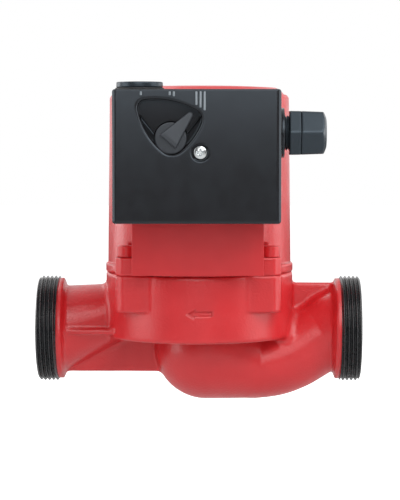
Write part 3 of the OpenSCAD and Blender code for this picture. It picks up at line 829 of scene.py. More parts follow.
fine_grid = ([(-80, -73, LIP_STEP), (-8, 10, ARROW_STEP), (73, 80, LIP_STEP)],
             [(-drum_r - 1, -drum_r + 3, ARROW_STEP)], [(9, 16.2, ARROW_STEP)])
carve("cast_housing", casting, "pump_housing", HOUSING_STEP, fine_grid)

# %% [markdown]
# ## Port threads
# The thread on each port is a real helix: the radius of a tube goes up and down with the distance
# along the axis and with the turn. The crests and roots are round, as on a pipe thread, and the
# first turns are cut away by the chamfer. A bump map would not change the outline of the port, and
# a screw modifier gives crests as sharp as knives, so the rings are laid one by one. The tube also
# has a bore, a hair inside the cast one, so that the two walls never lie in the same place.

# %% A threaded tube
RINGS = 14                   # rings of points in one pitch
CREST = 0.94                 # 1 would be a zigzag with sharp crests
MOUTH = 0.4                  # chamfer at both ends of the bore


def thread_tube(start, end, major, pitch, depth, inner, chamfer, place=(0, 0), side=1, turns=160):
    """Points and faces of a threaded tube along X, closed by a plain wall of radius inner."""
    count = int((end - start) / pitch * RINGS)
    along = np.linspace(start, end, count)
    angle = np.arange(turns) * 2 * np.pi / turns
    phase = 2 * np.pi * along[:, None] / pitch - side * angle
    wave = np.arcsin(CREST * np.sin(phase)) / np.arcsin(CREST)
    radius = major - depth / 2 + depth / 2 * wave
    limit = np.minimum(major - chamfer + (end - along), major)
    radius = np.minimum(radius, limit[:, None])
    radius[-1] = major - chamfer - 0.3
    rings = [(x, r) for x, r in zip(along, radius)]
    walls = [(end, inner + MOUTH), (end - MOUTH, inner), (start + 0.1, inner),
             (start, inner + MOUTH)]
    rings += [(x, np.full(turns, r)) for x, r in walls]
    points = np.concatenate([
        np.stack([np.full(turns, side * x), place[0] + r * np.cos(angle),
                  place[1] + r * np.sin(angle)], 1)
        for x, r in rings
    ])
    n = len(rings)
    faces = []
    for k in range(n):
        for i in range(turns):
            j = (i + 1) % turns
            ring, following = k * turns, (k + 1) % n * turns
            a, b, c, d = ring + i, following + i, following + j, ring + j
            faces.append((a, b, c, d) if side > 0 else (d, c, b, a))
    return points, faces


def flipped_outward(points, faces):
    """The same faces, all turned to look outward."""
    p = np.array(points)
    volume = 0.0
    for a, b, c, d in faces:
        volume += np.dot(p[a], np.cross(p[b], p[c])) + np.dot(p[a], np.cross(p[c], p[d]))
    return faces if volume > 0 else [face[::-1] for face in faces]


print(RINGS, "rings of points in each pitch")

# %% [markdown]
# Both ports have the usual parallel pipe thread, with eleven turns to the inch. It is right-handed
# at both ends, so the second tube can't be a mirror image of the first: its wave has to run the
# other way round, and that is what `side` does.

# %% Cut the port threads
PITCH = 25.4 / 11            # eleven threads to the inch
THREAD_DEPTH = 0.64 * PITCH
CREST_WEAR = 0.25            # crests are turned a little below the full size
LEAD_CHAMFER = 1.5
BORED_R = BORE_R - 0.3
thread_r = max(m["dims"]["r_mm"] for m in frame["record"]["mounts"] if m["kind"] == "pin")
for side, name in ((1, "suction_thread"), (-1, "discharge_thread")):
    points, faces = thread_tube(COLLAR[1] - 0.2, port_face, thread_r - CREST_WEAR, PITCH,
                                THREAD_DEPTH, BORED_R, LEAD_CHAMFER, side=side)
    mesh = smooth_mesh(name, points, flipped_outward(points, faces))
    piece(name, mesh, "dark_iron", stands_for=False)

# %% [markdown]
# ## The motor housing
# A turned aluminium cup with a foot ring, four lugs, a seat for the name plate and a carrier for
# the terminal box. The shoulder at the top has a small step, where the end was turned. The wall
# leans in a little towards the top, so that the cup comes out of its die. Half of its section is
# drawn as an outline and turned, and the lugs, seat and carrier are joined on with small fillets.

# %% Motor housing
LUG_H = 10.0
FLANGE_H = 4.8
FOOT_R, HEAD_R = 51.2, 50.1
ROUND = 0.7
BORE_TOP, STATOR_R = 129.0, 46.6      # the stator is pressed into this bore
VENT_HOLE_R, VENT_SEAT_R = 9.7, 13.0
SCREW_HEAD_R, SCREW_HOLE_R = 5.4, 3.3
PAD = (33.0, 66.0)                    # half width and top of the name plate's seat
CARRIER = (26.0, 65.0, 124.0)         # half width, foot and top of the box's carrier
MOTOR_STEP, EDGE_STEP = 1.1, 0.5
DIE_MM, DIE_HEIGHT = 22, 0.03         # a die leaves longer and lower waves than sand
lug_top = drum_top + LUG_H
vent_low = span("vent_seal")[0][2]
profile = [
    (-60, drum_top + ROUND), (flange_r - ROUND, drum_top + ROUND),
    (flange_r - ROUND, drum_top + FLANGE_H - ROUND), (FOOT_R - ROUND, drum_top + FLANGE_H - ROUND),
    (HEAD_R - ROUND, motor_top - 6.6), (HEAD_R - 1.5, motor_top - 5.3),
    (HEAD_R - 2.8, motor_top - 5.3), (HEAD_R - 4.9, motor_top - 2.8),
    (HEAD_R - 7.2, motor_top - 1.4), (30, motor_top - ROUND), (-60, motor_top - ROUND),
]
shell = turned(outline(profile))
shell_round = lambda p: shell(p) - ROUND
seat_front = span("nameplate")[1][1]
pad = block((-PAD[0], seat_front, drum_top + FLANGE_H - 1), (PAD[0], 0, PAD[1]), 1.0)
carrier = block((-CARRIER[0], seat_front, CARRIER[1]), (CARRIER[0], 0, CARRIER[2]), 1.0)
motor = join(shell_round, lug(drum_top, lug_top, 0.8), 0.6)
motor = join(motor, any_of(pad, carrier), 0.8)
hollow = any_of(
    rod(2, (0, 0), STATOR_R, drum_top - 5, BORE_TOP),
    rod(2, (0, 0), VENT_HOLE_R, 125, 140),
    rod(2, (0, 0), VENT_SEAT_R, vent_low, 140),
    mirrored(0, mirrored(1, rod(2, (SCREW, SCREW), SCREW_HEAD_R, lug_top, lug_top + 7))),
    mirrored(0, mirrored(1, rod(2, (SCREW, SCREW), SCREW_HOLE_R, 20, 60))),
)
motor = cut(motor, hollow, 0.5)
fine_grid = ((), (), [(drum_top - 1, lug_top + 1, EDGE_STEP),
                      (motor_top - 8, motor_top + 1, EDGE_STEP)])
motor = wavy(motor, DIE_MM, DIE_HEIGHT, seed=7)
carve("motor_shell", motor, "stator_housing", MOTOR_STEP, fine_grid)

# %% [markdown]
# ## Screws
# Socket-head screws clamp the motor down. One is made and its points are mirrored to the four
# corners. Cylinder primitives with a boolean would leave the rims sharp, and a screw is seen by
# the light on its rims. The cross-recess screw in the cover is made the same way.

# %% Motor screws
HEAD_H, HEAD_R6, SHANK_R, KEY, KEY_DEPTH = 6.0, 5.0, 3.0, 5.0, 3.0    # an M6 screw
SCREW_STEP = 0.4
hexagon = [(np.cos(a) * KEY / 2 / np.cos(np.pi / 6), np.sin(a) * KEY / 2 / np.cos(np.pi / 6))
           for a in np.radians(np.arange(0, 360, 60))]
key_flat = outline(hexagon)


def socket_screw(p):
    """Field of one socket-head screw in the corner lug."""
    head = rod(2, (SCREW, SCREW), HEAD_R6, lug_top, lug_top + HEAD_H, 0.5)
    stem = rod(2, (SCREW, SCREW), SHANK_R, BOSS_Z + 6, lug_top + 1)
    key = np.maximum(key_flat(p[:, 0] - SCREW, p[:, 1] - SCREW), lug_top + KEY_DEPTH - p[:, 2])
    return np.maximum(np.minimum(head(p), stem(p)), -key)


low, high = span("motor_screws")
inner = SCREW - HEAD_R6
points, faces, normals = skin(socket_screw, (inner, inner, low[2]), high, SCREW_STEP)
all_points, all_faces, all_normals = [], [], []
for flip in ((1, 1, 1), (1, -1, 1), (-1, 1, 1), (-1, -1, 1)):
    turn = faces if flip[0] * flip[1] > 0 else faces[:, ::-1]
    all_faces.append(turn + len(points) * len(all_points))
    all_points.append(points * flip)
    all_normals.append(normals * flip)
mesh = smooth_mesh("socket_screws", np.concatenate(all_points), np.concatenate(all_faces),
                   np.concatenate(all_normals))
piece("socket_screws", mesh, "motor_screws")

# %% [markdown]
# The vent plug closes the end of the motor. It is turned from brass, and its slot takes a wide
# screwdriver, or a coin. Its collar is a thin disc with a broken edge, and the slot is milled
# through it from side to side.

# %% Vent plug
low, high = span("vent_screw")
SLOT_W, SLOT_DEPTH, COLLAR_H, VENT_STEM_R = 2.2, 1.4, 1.9, 8.0
VENT_STEP = 0.5
slot = block((-20, -SLOT_W / 2, high[2] - SLOT_DEPTH), (20, SLOT_W / 2, high[2] + 3), 0.1)
vent = join(rod(2, (0, 0), high[0], high[2] - COLLAR_H, high[2], 0.35),
            rod(2, (0, 0), VENT_STEM_R, low[2], high[2] - 1))
carve("vent_plug", cut(vent, slot, 0.15), "vent_screw", VENT_STEP)

# %% [markdown]
# ## The plate under the box
# A blank sheet of enamelled steel. A sheet has sharp sheared edges that the paint has rounded a
# little, so its outline is extruded and bevelled. A plain sheet is one of the few pieces where a
# prism with a bevel is just as good as a field, and it needs only a hundred faces.

# %% The blank plate
import bmesh

SHEET_EDGE, SHARP = 0.6, np.radians(40)


def prism(name, points, near, far, bevel, segments=3):
    """An XZ outline extruded between two distances in front of the axis, with bevelled edges."""
    bm = bmesh.new()
    ring = [bm.verts.new((x * MM + AXIS[0], -near * MM, z * MM)) for x, z in points]
    base = bm.faces.new(ring)
    top = bmesh.ops.extrude_face_region(bm, geom=[base])
    moved = [v for v in top["geom"] if isinstance(v, bmesh.types.BMVert)]
    bmesh.ops.translate(bm, verts=moved, vec=(0, -(far - near) * MM, 0))
    bmesh.ops.recalc_face_normals(bm, faces=bm.faces)
    bmesh.ops.bevel(bm, geom=bm.edges[:], offset=bevel * MM, segments=segments, profile=0.5,
                    affect="EDGES", clamp_overlap=True)
    mesh = bpy.data.meshes.new(name)
    bm.to_mesh(mesh)
    bm.free()
    mesh.shade_smooth()
    mesh.set_sharp_from_angle(angle=SHARP)
    return mesh


low, high = span("nameplate")
plate_mesh = prism("blank_plate", [(low[0], low[2]), (high[0], low[2]), (high[0], high[2]),
                                   (low[0], high[2])], -high[1], -low[1], SHEET_EDGE)
piece("blank_plate", plate_mesh, "nameplate")

# %% [markdown]
# ## The terminal box
# Base and cover are thin mouldings that meet at a joint all round. Both have the same outline, so
# one function makes a block with that outline, and a smaller block cuts the inside out. The base
# has two round openings for the entry fittings.

# %% Box base
box_low, box_high = span("box_base")
cover_low, _ = span("terminal_cover")
WALL, CORNER = 2.6, 1.6
RAISED = 0.5                         # the solid's speed marks stand in front of its face
FRONT = -cover_low[1] - RAISED       # the cover's face
back, joint = -box_high[1], -box_low[1]
ENTRY_R = 8.1                        # of both openings
BOX_STEP = 0.9


def box_body(near, far, inset, edge, corner=CORNER):
    """A block with the box's outline, smaller by inset all round, corners rounded."""
    low = (box_low[0] + inset, -far, box_low[2] + inset)
    high = (box_high[0] - inset, -near, box_high[2] - inset)
    middle = [(a + b) / 2 for a, b in zip(low, high)]
    half = [(b - a) / 2 for a, b in zip(low, high)]

    def field(p):
        u = np.abs(p[:, 0] - middle[0]) - half[0] + corner
        v = np.abs(p[:, 2] - middle[2]) - half[2] + corner
        flat = rounded(u, v) - corner
        return rounded(flat + edge, np.abs(p[:, 1] - middle[1]) - half[1] + edge) - edge

    return field


entry_x = sum(corner[0] for corner in span("plug_washer")) / 2
entry_y = -70.0
entry_z = sum(corner[2] for corner in span("gland_flange")) / 2
PLUG, GLAND = (entry_x, entry_y), (entry_y, entry_z)      # their axes
base = meet(box_body(back, joint + 3, 0, 0.9), block((-90, -joint, 0), (90, 0, 200), 0), 0.3)
base = cut(base, box_body(back + WALL, joint + 9, WALL, 0.8, 1.0), 0.3)
base = cut(base, any_of(rod(2, PLUG, ENTRY_R, 125, 140), rod(0, GLAND, ENTRY_R, 35, 50)), 0.2)
carve("box_base_moulding", base, "box_base", BOX_STEP)

# %% [markdown]
# ## The speed window
# The window in the cover is a triangle whose sides bow outwards. Each side is an arc of a wide
# circle, and the corners are round, so the outline is what three discs have in common, with a
# fillet. It is kept a little small, because a narrow facet runs around it. Behind it a platform
# carries the pointer over the part of the window that the pointer sweeps.

# %% Outline of the speed window
_, knob_high = span("speed_knob")
KNOB = (-13.4, 106.8)
WINDOW_R = 3.6                       # radius of the window's corners
WINDOW_EDGE = 0.7                    # the facet around it takes this much
ARC_FILLET = 0.5
arcs = [((18.8, 21.6), 37.0), ((-16.1, 20.2), 35.0), ((-8.3, -23.2), 44.0)]


def window_flat(u, v):
    """Flat distance to the bowed triangle of the speed window, inside its facet."""
    sides = [np.hypot(u - KNOB[0] - c[0], v - KNOB[1] - c[1]) - r + WINDOW_R + WINDOW_EDGE
             for c, r in arcs]
    shape = sides[0]
    for side in sides[1:]:
        corner = np.hypot(np.maximum(ARC_FILLET + shape, 0), np.maximum(ARC_FILLET + side, 0))
        shape = -(np.maximum(ARC_FILLET, np.minimum(-shape, -side)) - corner)
    return shape - WINDOW_R


SWEEP = np.radians(38.5)             # half the angle of the platform
SWEEP_FOOT, SWEEP_REACH = 5.3, 40.0
foot = SWEEP_FOOT * np.array([np.cos(SWEEP), -np.sin(SWEEP)])
tip = foot + SWEEP_REACH * np.array([np.sin(SWEEP), np.cos(SWEEP)])
knob_at = np.array(KNOB)
sector = outline([knob_at + foot, knob_at + tip, knob_at + tip * (-1, 1), knob_at + foot * (-1, 1)])
print("the window's sides bow with radii of", [r for _, r in arcs], "mm")

# %% [markdown]
# ## The cover
# The face of a moulded cover isn't flat: it falls back slightly towards its top edge, and that
# curve is what makes the sheen fade from top to bottom. Its upright edges and the rim of the
# window have narrow facets, each of which catches a side lamp as a thin line. The slope of a facet
# is given by its width and depth, and it is cut as a body of its own, so that it follows the
# crowned face. The screw sits in a round seat that is joined to the base by a post.

# %% Cover
window_floor, sweep_floor = FRONT - 5.6, FRONT - 3.8
screw_at = (1.9, 99.5)
CROWN, CROWN_FROM = 0.5, 84.0        # the face falls back by this much towards its top edge
FACET = (0.9, 0.75)                  # width and depth of the facets along its edges
SIDE_FACET = 1.5                     # width of the facets along the upright edges
SEAT_HOLE_R, POST_R, STEM_HOLE_R = 4.7, 5.6, 2.1
DISC_HOLE_R, SPINDLE_HOLE_R = 8.6, 3.6
COVER_STEP, COVER_EDGE_STEP = 0.62, 0.36
SLANT = FACET[0] / FACET[1]
box_middle, box_half = (box_low[0] + box_high[0]) / 2, (box_high[0] - box_low[0]) / 2


def crown(p):
    """Distance in front of the crowned face."""
    rise = np.maximum(p[:, 2] - CROWN_FROM, 0) / (box_high[2] - CROWN_FROM)
    return -p[:, 1] - FRONT + CROWN * rise**2


def facet(p, flat, width=FACET[0]):
    """A facet between the face and a wall whose flat distance is given."""
    return (flat + width + SLANT * crown(p)) / np.hypot(1, SLANT)


before_joint = block((-90, -200, 0), (90, -joint - 0.6, 200))
cover = meet(box_body(joint - 3, FRONT, 0, 1.4), before_joint, 0.3)
cover = meet(cover, crown, 0.1)
cover = meet(cover, lambda p: facet(p, np.abs(p[:, 0] - box_middle) - box_half, SIDE_FACET), 0.2)
cover = cut(cover, box_body(joint - 5, FRONT - 2.4, WALL, 0.8, 1.0), 0.3)
cover = any_of(
    cover,
    plate(lambda u, v: window_flat(u, v) - 1.4, window_floor - 1.6, FRONT - 1),
    plate(lambda u, v: np.hypot(u - screw_at[0], v - screw_at[1]) - POST_R, joint + 0.6, FRONT - 1),
)
cover = cut(cover, plate(window_flat, window_floor, FRONT + 5), 0.2)
cover = cut(cover, meet(lambda p: -facet(p, -window_flat(p[:, 0], p[:, 2])),
                        lambda p: -crown(p) - FACET[1]), 0.1)
platform = plate(lambda u, v: np.maximum(sector(u, v), window_flat(u, v) - 1), window_floor - 0.5,
                 sweep_floor, 0.45)
platform = cut(platform, rod(1, KNOB, DISC_HOLE_R, -FRONT - 5, -joint), 0.2)
cover = any_of(cover, platform)
cover = cut(cover, rod(1, KNOB, SPINDLE_HOLE_R, -FRONT - 5, -joint + 5), 0.2)
cover = cut(cover, rod(1, screw_at, STEM_HOLE_R, -FRONT - 5, -joint + 5), 0.1)
cover = cut(cover, rod(1, screw_at, SEAT_HOLE_R, -FRONT - 5, -FRONT + 1.5), 0.35)
fine_grid = ([(-32, 5, COVER_EDGE_STEP)], (), [(85, box_high[2], COVER_EDGE_STEP)])
carve("cover_moulding", cover, "terminal_cover", COVER_STEP, fine_grid, look="cover_plastic")

# %% [markdown]
# ## The polished window
# The window's floor is polished in the tool and the face is spark-eroded, so the floor looks
# darker: it mirrors the dark room, where the face spreads light. A second material would need a
# seam in the mesh. Here the shader takes the depth of a point behind the face and chooses between
# the two, so the change lies on the wall of the window, where a real tool has it.

# %% Polish the window's floor
POLISH, POLISH_FROM, POLISH_OVER = 0.1, 1.2, 0.2     # roughness, and mm behind the face
tree = cover_finish.node_tree
shader = tree.nodes["Principled BSDF"]
place = add(tree, "ShaderNodeSeparateXYZ", Vector=add(tree, "ShaderNodeTexCoord").outputs["Object"])
depth = -(FRONT - POLISH_FROM) * MM
sunk = between(tree, place.outputs["Y"], 0, 1, depth, depth + POLISH_OVER * MM)
smooth = add(tree, "ShaderNodeMix", {"data_type": "FLOAT"}, Factor=sunk, B=POLISH)
tree.links.new(shader.inputs["Roughness"].links[0].from_socket, smooth.inputs["A"])
tree.links.new(smooth.outputs["Result"], shader.inputs["Roughness"])
print("polished more than", POLISH_FROM, "mm behind the face")

# %% [markdown]
# ## The speed marks
# The three speeds are marked by low raised bars: one, two and three in a row, longer towards the
# fastest. Bars in the mould are the cheapest way to mark a knob, they need no print and no words.
# Their pale tops are a painted highlight for the light that their edges catch, so they are pieces
# of their own with a paler finish.

# %% Speed marks
MARK_W, MARK_PITCH, MARK_TOP = 1.05, 2.1, 130.7
MARK_OUT, MARK_EDGE, MARK_STEP = 0.45, 0.25, 0.25
marks = {"one": (-28.5, [2.0]), "two": (-12.7, [2.0, 2.5]), "three": (2.0, [6.9, 8.2, 9.6])}
for speed, (centre, lengths) in marks.items():
    bars = []
    for i, length in enumerate(lengths):
        x = centre + (i - (len(lengths) - 1) / 2) * MARK_PITCH
        bars.append(block((x - MARK_W / 2, -FRONT - MARK_OUT, MARK_TOP - length),
                          (x + MARK_W / 2, -FRONT + 1, MARK_TOP), MARK_EDGE))
    reach = len(lengths) * MARK_PITCH
    points, faces, normals = skin(any_of(*bars), (centre - reach, -FRONT - 1, MARK_TOP - 11),
                                  (centre + reach, -FRONT + 1.2, MARK_TOP + 1), MARK_STEP)
    mesh = smooth_mesh("speed_mark_" + speed, points, faces, normals)
    # The marks take the pale grey finish, a painted highlight.
    piece("speed_mark_" + speed, mesh, "terminal_cover", stands_for=False, look="mark_grey")

# %% [markdown]
# ## The knob
# A disc that nearly fills the foot of the window, with a wedge-shaped pointer standing on it. The
# pointer is wide and square behind the axis, where a thumb pushes it, and narrow at its tip, and it
# gets lower towards the tip. It is drawn pointing straight up and then turned to where it stands at
# rest. The knob rides on its own body, so that the joint can turn it.

# %% Knob
POINT = np.radians(40)
POINTER_LENGTH, POINTER_TIP_R, POINTER_H, POINTER_EDGE = 15.5, 1.5, 3.0, 0.45
SLOPE = 0.09         # the pointer gets lower towards its tip
DISC_R, SPINDLE_R = 8.2, 3.0
KNOB_STEP = 0.33
disc_front = sweep_floor + 1.4
pointer_foot = sweep_floor + 0.3
wedge = outline([(-POINTER_TIP_R, POINTER_LENGTH), (POINTER_TIP_R, POINTER_LENGTH),
                 (5.3, -2.3), (-5.3, -2.3)])


def knob(p):
    """Disc, wedge pointer with a round tip, and stem."""
    x, z = p[:, 0] - KNOB[0], p[:, 2] - KNOB[1]
    u = x * np.cos(POINT) - z * np.sin(POINT)
    v = x * np.sin(POINT) + z * np.cos(POINT)
    flat = np.minimum(wedge(u, v), np.hypot(u, v - POINTER_LENGTH) - POINTER_TIP_R)
    height = POINTER_H - SLOPE * np.maximum(v, 0)
    depth = np.abs(-p[:, 1] - pointer_foot - height / 2) - height / 2
    pointer = rounded(flat + POINTER_EDGE, depth + POINTER_EDGE) - POINTER_EDGE
    disc = rod(1, KNOB, DISC_R, -disc_front, -window_floor - 0.3, 0.4)(p)
    stem = rod(1, KNOB, SPINDLE_R, -window_floor - 1, knob_high[1])(p)
    return np.minimum(np.minimum(pointer, disc), stem)


carve("pointer_knob", knob, "speed_knob", KNOB_STEP, body="knob")

# %% [markdown]
# ## The cover's screw
# A zinc-plated pan-head screw. Its head is the cap of a ball with a round rim, and its recess is
# the usual cross: two slots that get narrower and shorter as they go down. The tiny slopes inside
# it are what makes a bright screw sparkle, so they are cut and not painted.

# %% Cover screw
seat = FRONT - 1.5
_, screw_high = span("cover_screw")
PAN_R, DOME_R, DOME_H, PAN_EDGE, STEM_R = 3.35, 7.0, 1.6, 0.25, 1.9
ARM_L, ARM_W, ARM_TAPER = 1.9, 0.42, 0.12
RECESS_R, RECESS_FLOOR = 0.9, 0.25
PAN_STEP = 0.22


def cross_screw(p):
    """Pan head with a cross recess, and its stem."""
    x, z, y = p[:, 0] - screw_at[0], p[:, 2] - screw_at[1], -p[:, 1]
    out, above = np.hypot(x, z), y - seat
    dome = np.hypot(out, above - DOME_H + DOME_R) - DOME_R
    head = rounded(np.maximum(out - PAN_R, dome) + PAN_EDGE, PAN_EDGE - above) - PAN_EDGE
    arm = ARM_W + ARM_TAPER * above
    cross = np.minimum(np.maximum(np.abs(x) - ARM_L, np.abs(z) - arm),
                       np.maximum(np.abs(z) - ARM_L, np.abs(x) - arm))
    taper = np.maximum(cross, out - RECESS_R - RECESS_R * above)
    recess = np.maximum(taper, RECESS_FLOOR - above)
    stem = rod(1, screw_at, STEM_R, -seat - 0.2, screw_high[1])(p)
    return np.minimum(np.maximum(head, -recess), stem)


carve("pan_head_screw", cross_screw, "cover_screw", PAN_STEP)

# %% [markdown]
# ## Plug and cable gland
# All the entry fittings are moulded nylon: a coin-slot plug with its washer on the top, and on the
# side a gland with a flange washer, a threaded neck, a hexagonal body and a tapered cap nut. No
# cord runs through the gland. The plug's washer is black rubber, and the gland's is of the same
# black nylon as the box.

# %% Blanking plug and washers
plug_low, plug_high = span("blanking_plug")
CAP_H, CAP_EDGE = 3.0, 0.6
COIN_L, COIN_W, COIN_DEPTH = 15.0, 2.0, 1.8
NECK_R, WASHER_HOLE_R = 8.0, 8.05
FITTING_STEP = 0.5
plug_top = plug_high[2]
cap = rod(2, PLUG, (plug_high[0] - plug_low[0]) / 2, plug_top - CAP_H, plug_top, CAP_EDGE)
plug = any_of(cap, rod(2, PLUG, NECK_R, plug_low[2], plug_top - 2))
coin_slot = block((entry_x - COIN_L / 2, entry_y - COIN_W / 2, plug_top - COIN_DEPTH),
                  (entry_x + COIN_L / 2, entry_y + COIN_W / 2, plug_top + 3), 0.3)
carve("blanking_plug_moulding", cut(plug, coin_slot, 0.3), "blanking_plug", FITTING_STEP,
      look="gland_nylon")
low, high = span("plug_washer")
washer = cut(rod(2, PLUG, (high[0] - low[0]) / 2, low[2], high[2], 0.4),
             rod(2, PLUG, WASHER_HOLE_R, 0, 200), 0.2)
carve("plug_seal_washer", washer, "plug_washer", FITTING_STEP)
low, high = span("gland_flange")
flange = cut(rod(0, GLAND, (high[1] - low[1]) / 2, low[0], high[0], 0.5),
             rod(0, GLAND, WASHER_HOLE_R, 0, 200), 0.2)
carve("gland_washer", flange, "gland_flange", FITTING_STEP, look="black_plastic")
flange_face = high[0]

# %% [markdown]
# ## A tapering hexagon
# The gland's body and its nut are both hexagonal, and a mould gives them a slight taper. A hexagon
# is what three slabs have in common. Its ends are chamfered by turning: a profile is turned around
# the same axis, and what both bodies share is the piece, with the curved corners of a real nut.

# %% Hexagonal bar
HEX_EDGE, HEX_END = 0.9, 0.3         # fillets between the flats, and at the ends


def hex_bar(start, end, first_across, last_across):
    """A tapering hexagonal bar along X, with a corner to the front."""

    def field(p):
        y, z = p[:, 1] - entry_y, p[:, 2] - entry_z
        grow = (p[:, 0] - start) / (end - start)
        half = (first_across + (last_across - first_across) * grow) / 2
        sides = [np.abs(y * np.sin(a) + z * np.cos(a)) - half for a in np.radians((0, 60, 120))]
        flat = sides[0]
        for side in sides[1:]:
            flat = rounded(flat + HEX_EDGE, side + HEX_EDGE) - HEX_EDGE
        along = np.abs(p[:, 0] - (start + end) / 2) - (end - start) / 2
        return rounded(flat + HEX_END, along + HEX_END) - HEX_END

    return field


def turned_profile(*points):
    """A profile, in x and radius, turned around the gland's axis."""
    closed = [(-9, points[0][0]), *[(radius, x) for x, radius in points], (-9, points[-1][0])]
    return turned_along_x(outline(closed), GLAND)


print("hexagons stand around y", entry_y, "z", round(float(entry_z), 2), "mm")

# %% [markdown]
# ## Gland body and nut
# The body's hexagon stands a little off the washer, with a turn or two of its thread in the gap.
# The nut screws over the body's other end and clamps the seal. Its end falls in a few slopes to
# the hole for the cord. A narrow dark joint stays between the two hexagons.

# %% Gland body and nut
body_low, _ = span("gland_body")
nut_low, nut_high = span("gland_nut")
hex_start = flange_face + 2.5
joint_x = nut_low[0] - 0.15
body_end = joint_x + 0.1             # of its hexagon
end_x = nut_high[0]
ACROSS = (22.9, 22.7, 21.7)          # over the flats, from the washer outwards
CORNER_R = 13.3                      # the corners are turned down to this
CHAMFER = 0.7
TAIL_R, CORD_R, NUT_HOLE_R = 9.0, 6.0, 7.2
NECK_MAJOR, NECK_PITCH, NECK_DEPTH, NECK_BORE = 9.2, 1.5, 0.9, 7.4
hex_body = meet(hex_bar(hex_start, body_end, ACROSS[0], ACROSS[1]),
                turned_profile((hex_start, CORNER_R - CHAMFER), (hex_start + CHAMFER, CORNER_R),
                               (body_end, CORNER_R)), 0.2)
gland = any_of(hex_body, rod(0, GLAND, TAIL_R, joint_x - 2, joint_x + 6.5),
               rod(0, GLAND, NECK_R, body_low[0], hex_start + 1))
gland = cut(gland, any_of(rod(0, GLAND, CORD_R, 0, 200),
                          rod(0, GLAND, NUT_HOLE_R, joint_x - 2, 200)), 0.2)
carve("gland_body_moulding", gland, "gland_body", FITTING_STEP)
points, faces = thread_tube(flange_face - 0.5, hex_start + 0.3, NECK_MAJOR, NECK_PITCH,
                            NECK_DEPTH, NECK_BORE, 0.0, place=GLAND, turns=96)
mesh = smooth_mesh("gland_neck_thread", points, flipped_outward(points, faces))
piece("gland_neck_thread", mesh, "gland_nylon", stands_for=False)

nut = meet(hex_bar(nut_low[0], end_x, ACROSS[1], ACROSS[2]),
           turned_profile((nut_low[0], CORNER_R - 0.8), (nut_low[0] + 0.5, CORNER_R),
                          (end_x - 2.9, CORNER_R), (end_x - 2.4, 12.7), (end_x - 1.5, 11),
                          (end_x - 0.6, 9), (end_x, 7.4)), 0.25)
nut = cut(nut, any_of(rod(0, GLAND, NUT_HOLE_R, 0, 200),
                      rod(0, GLAND, TAIL_R + 0.05, 0, nut_low[0] + 7.5)), 0.25)
carve("gland_cap_nut", nut, "gland_nut", FITTING_STEP)

# %% [markdown]
# ## Floor and room
# The pump hangs in its pipework, so the floor is a hand's breadth below it and gives it no sharp
# shadow. A product is shot in front of white paper. Were the paper really as bright as it looks,
# it would light the pump from below and behind, and the edges of the casting would wash out. So
# the paper is matt and pale for the light, and white only for the camera and for a look through
# glass. It gets brighter away from the pump, and that leaves a soft grey pool under it.

# %% Paper that looks white
FLOOR_GAP = 0.11                     # metres below the pump
PAPER = "#e4e4e4"
POOL_GLOW, POOL_RISE = 0.55, 0.6     # glow under the pump, and how much it grows
POOL = (0.2, 0.9)                    # it grows between these distances from the motor axis
floor_z = cad_box[0][2] - FLOOR_GAP
AXIS_FOOT = (AXIS[0], AXIS[1], floor_z)


def seen_directly(tree):
    """Two sockets of a shader: 1 for the camera and through glass, and 1 in mirror images."""
    ray = add(tree, "ShaderNodeLightPath")
    seen = add(tree, "ShaderNodeMath", {"operation": "MAXIMUM"},
               i0=ray.outputs["Is Camera Ray"], i1=ray.outputs["Is Transmission Ray"])
    return seen.outputs[0], ray.outputs["Is Glossy Ray"]


def studio_white(name):
    """A pale matt surface that the camera and glass see as white, more so far away."""
    material = bpy.data.materials.new(name)
    material.use_nodes = True
    tree = material.node_tree
    tree.nodes.clear()
    seen, _ = seen_directly(tree)
    matt = add(tree, "ShaderNodeBsdfDiffuse", Color=linear(PAPER))
    glow = add(tree, "ShaderNodeEmission", Color=(1, 1, 1, 1))
    place = add(tree, "ShaderNodeTexCoord").outputs["Object"]
    away = add(tree, "ShaderNodeVectorMath", {"operation": "DISTANCE"}, i0=place, i1=AXIS_FOOT)
    level = between(tree, away.outputs["Value"], POOL_GLOW, POOL_GLOW + POOL_RISE, *POOL)
    strength = add(tree, "ShaderNodeMath", {"operation": "MULTIPLY"}, i0=seen, i1=level)
    tree.links.new(strength.outputs[0], glow.inputs["Strength"])
    both = add(tree, "ShaderNodeAddShader", i0=matt.outputs[0], i1=glow.outputs[0])
    out = add(tree, "ShaderNodeOutputMaterial")
    tree.links.new(both.outputs[0], out.inputs["Surface"])
    return material


print("paper glows from", POOL_GLOW, "to", POOL_GLOW + POOL_RISE)

# %% [markdown]
# The paper itself is a plain square, so wide that its edge is never seen behind the pump.

# %% Floor under the pump
FLOOR_HALF = 6.0
floor_mesh = bpy.data.meshes.new("studio_floor")
corners = [(-1, -1), (1, -1), (1, 1), (-1, 1)]
floor_mesh.from_pydata([(x * FLOOR_HALF, y * FLOOR_HALF, floor_z) for x, y in corners], [],
                       [(0, 1, 2, 3)])
floor = bpy.data.objects.new("studio_floor", floor_mesh)
bpy.context.scene.collection.objects.link(floor)
floor_mesh.materials.append(studio_white("white_paper"))
floor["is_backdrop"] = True
print("floor at", round(floor_z, 4), "m")

# %% [markdown]
# The room around it is white for the camera, and dark in front and pale behind for mirror images.
# It gives the enamel and the black mouldings something to mirror, and it sheds no light of its
# own. A picture of a real studio could be wrapped around the scene instead, but it would light the
# pump as well, and the lamps could no longer be set one by one.

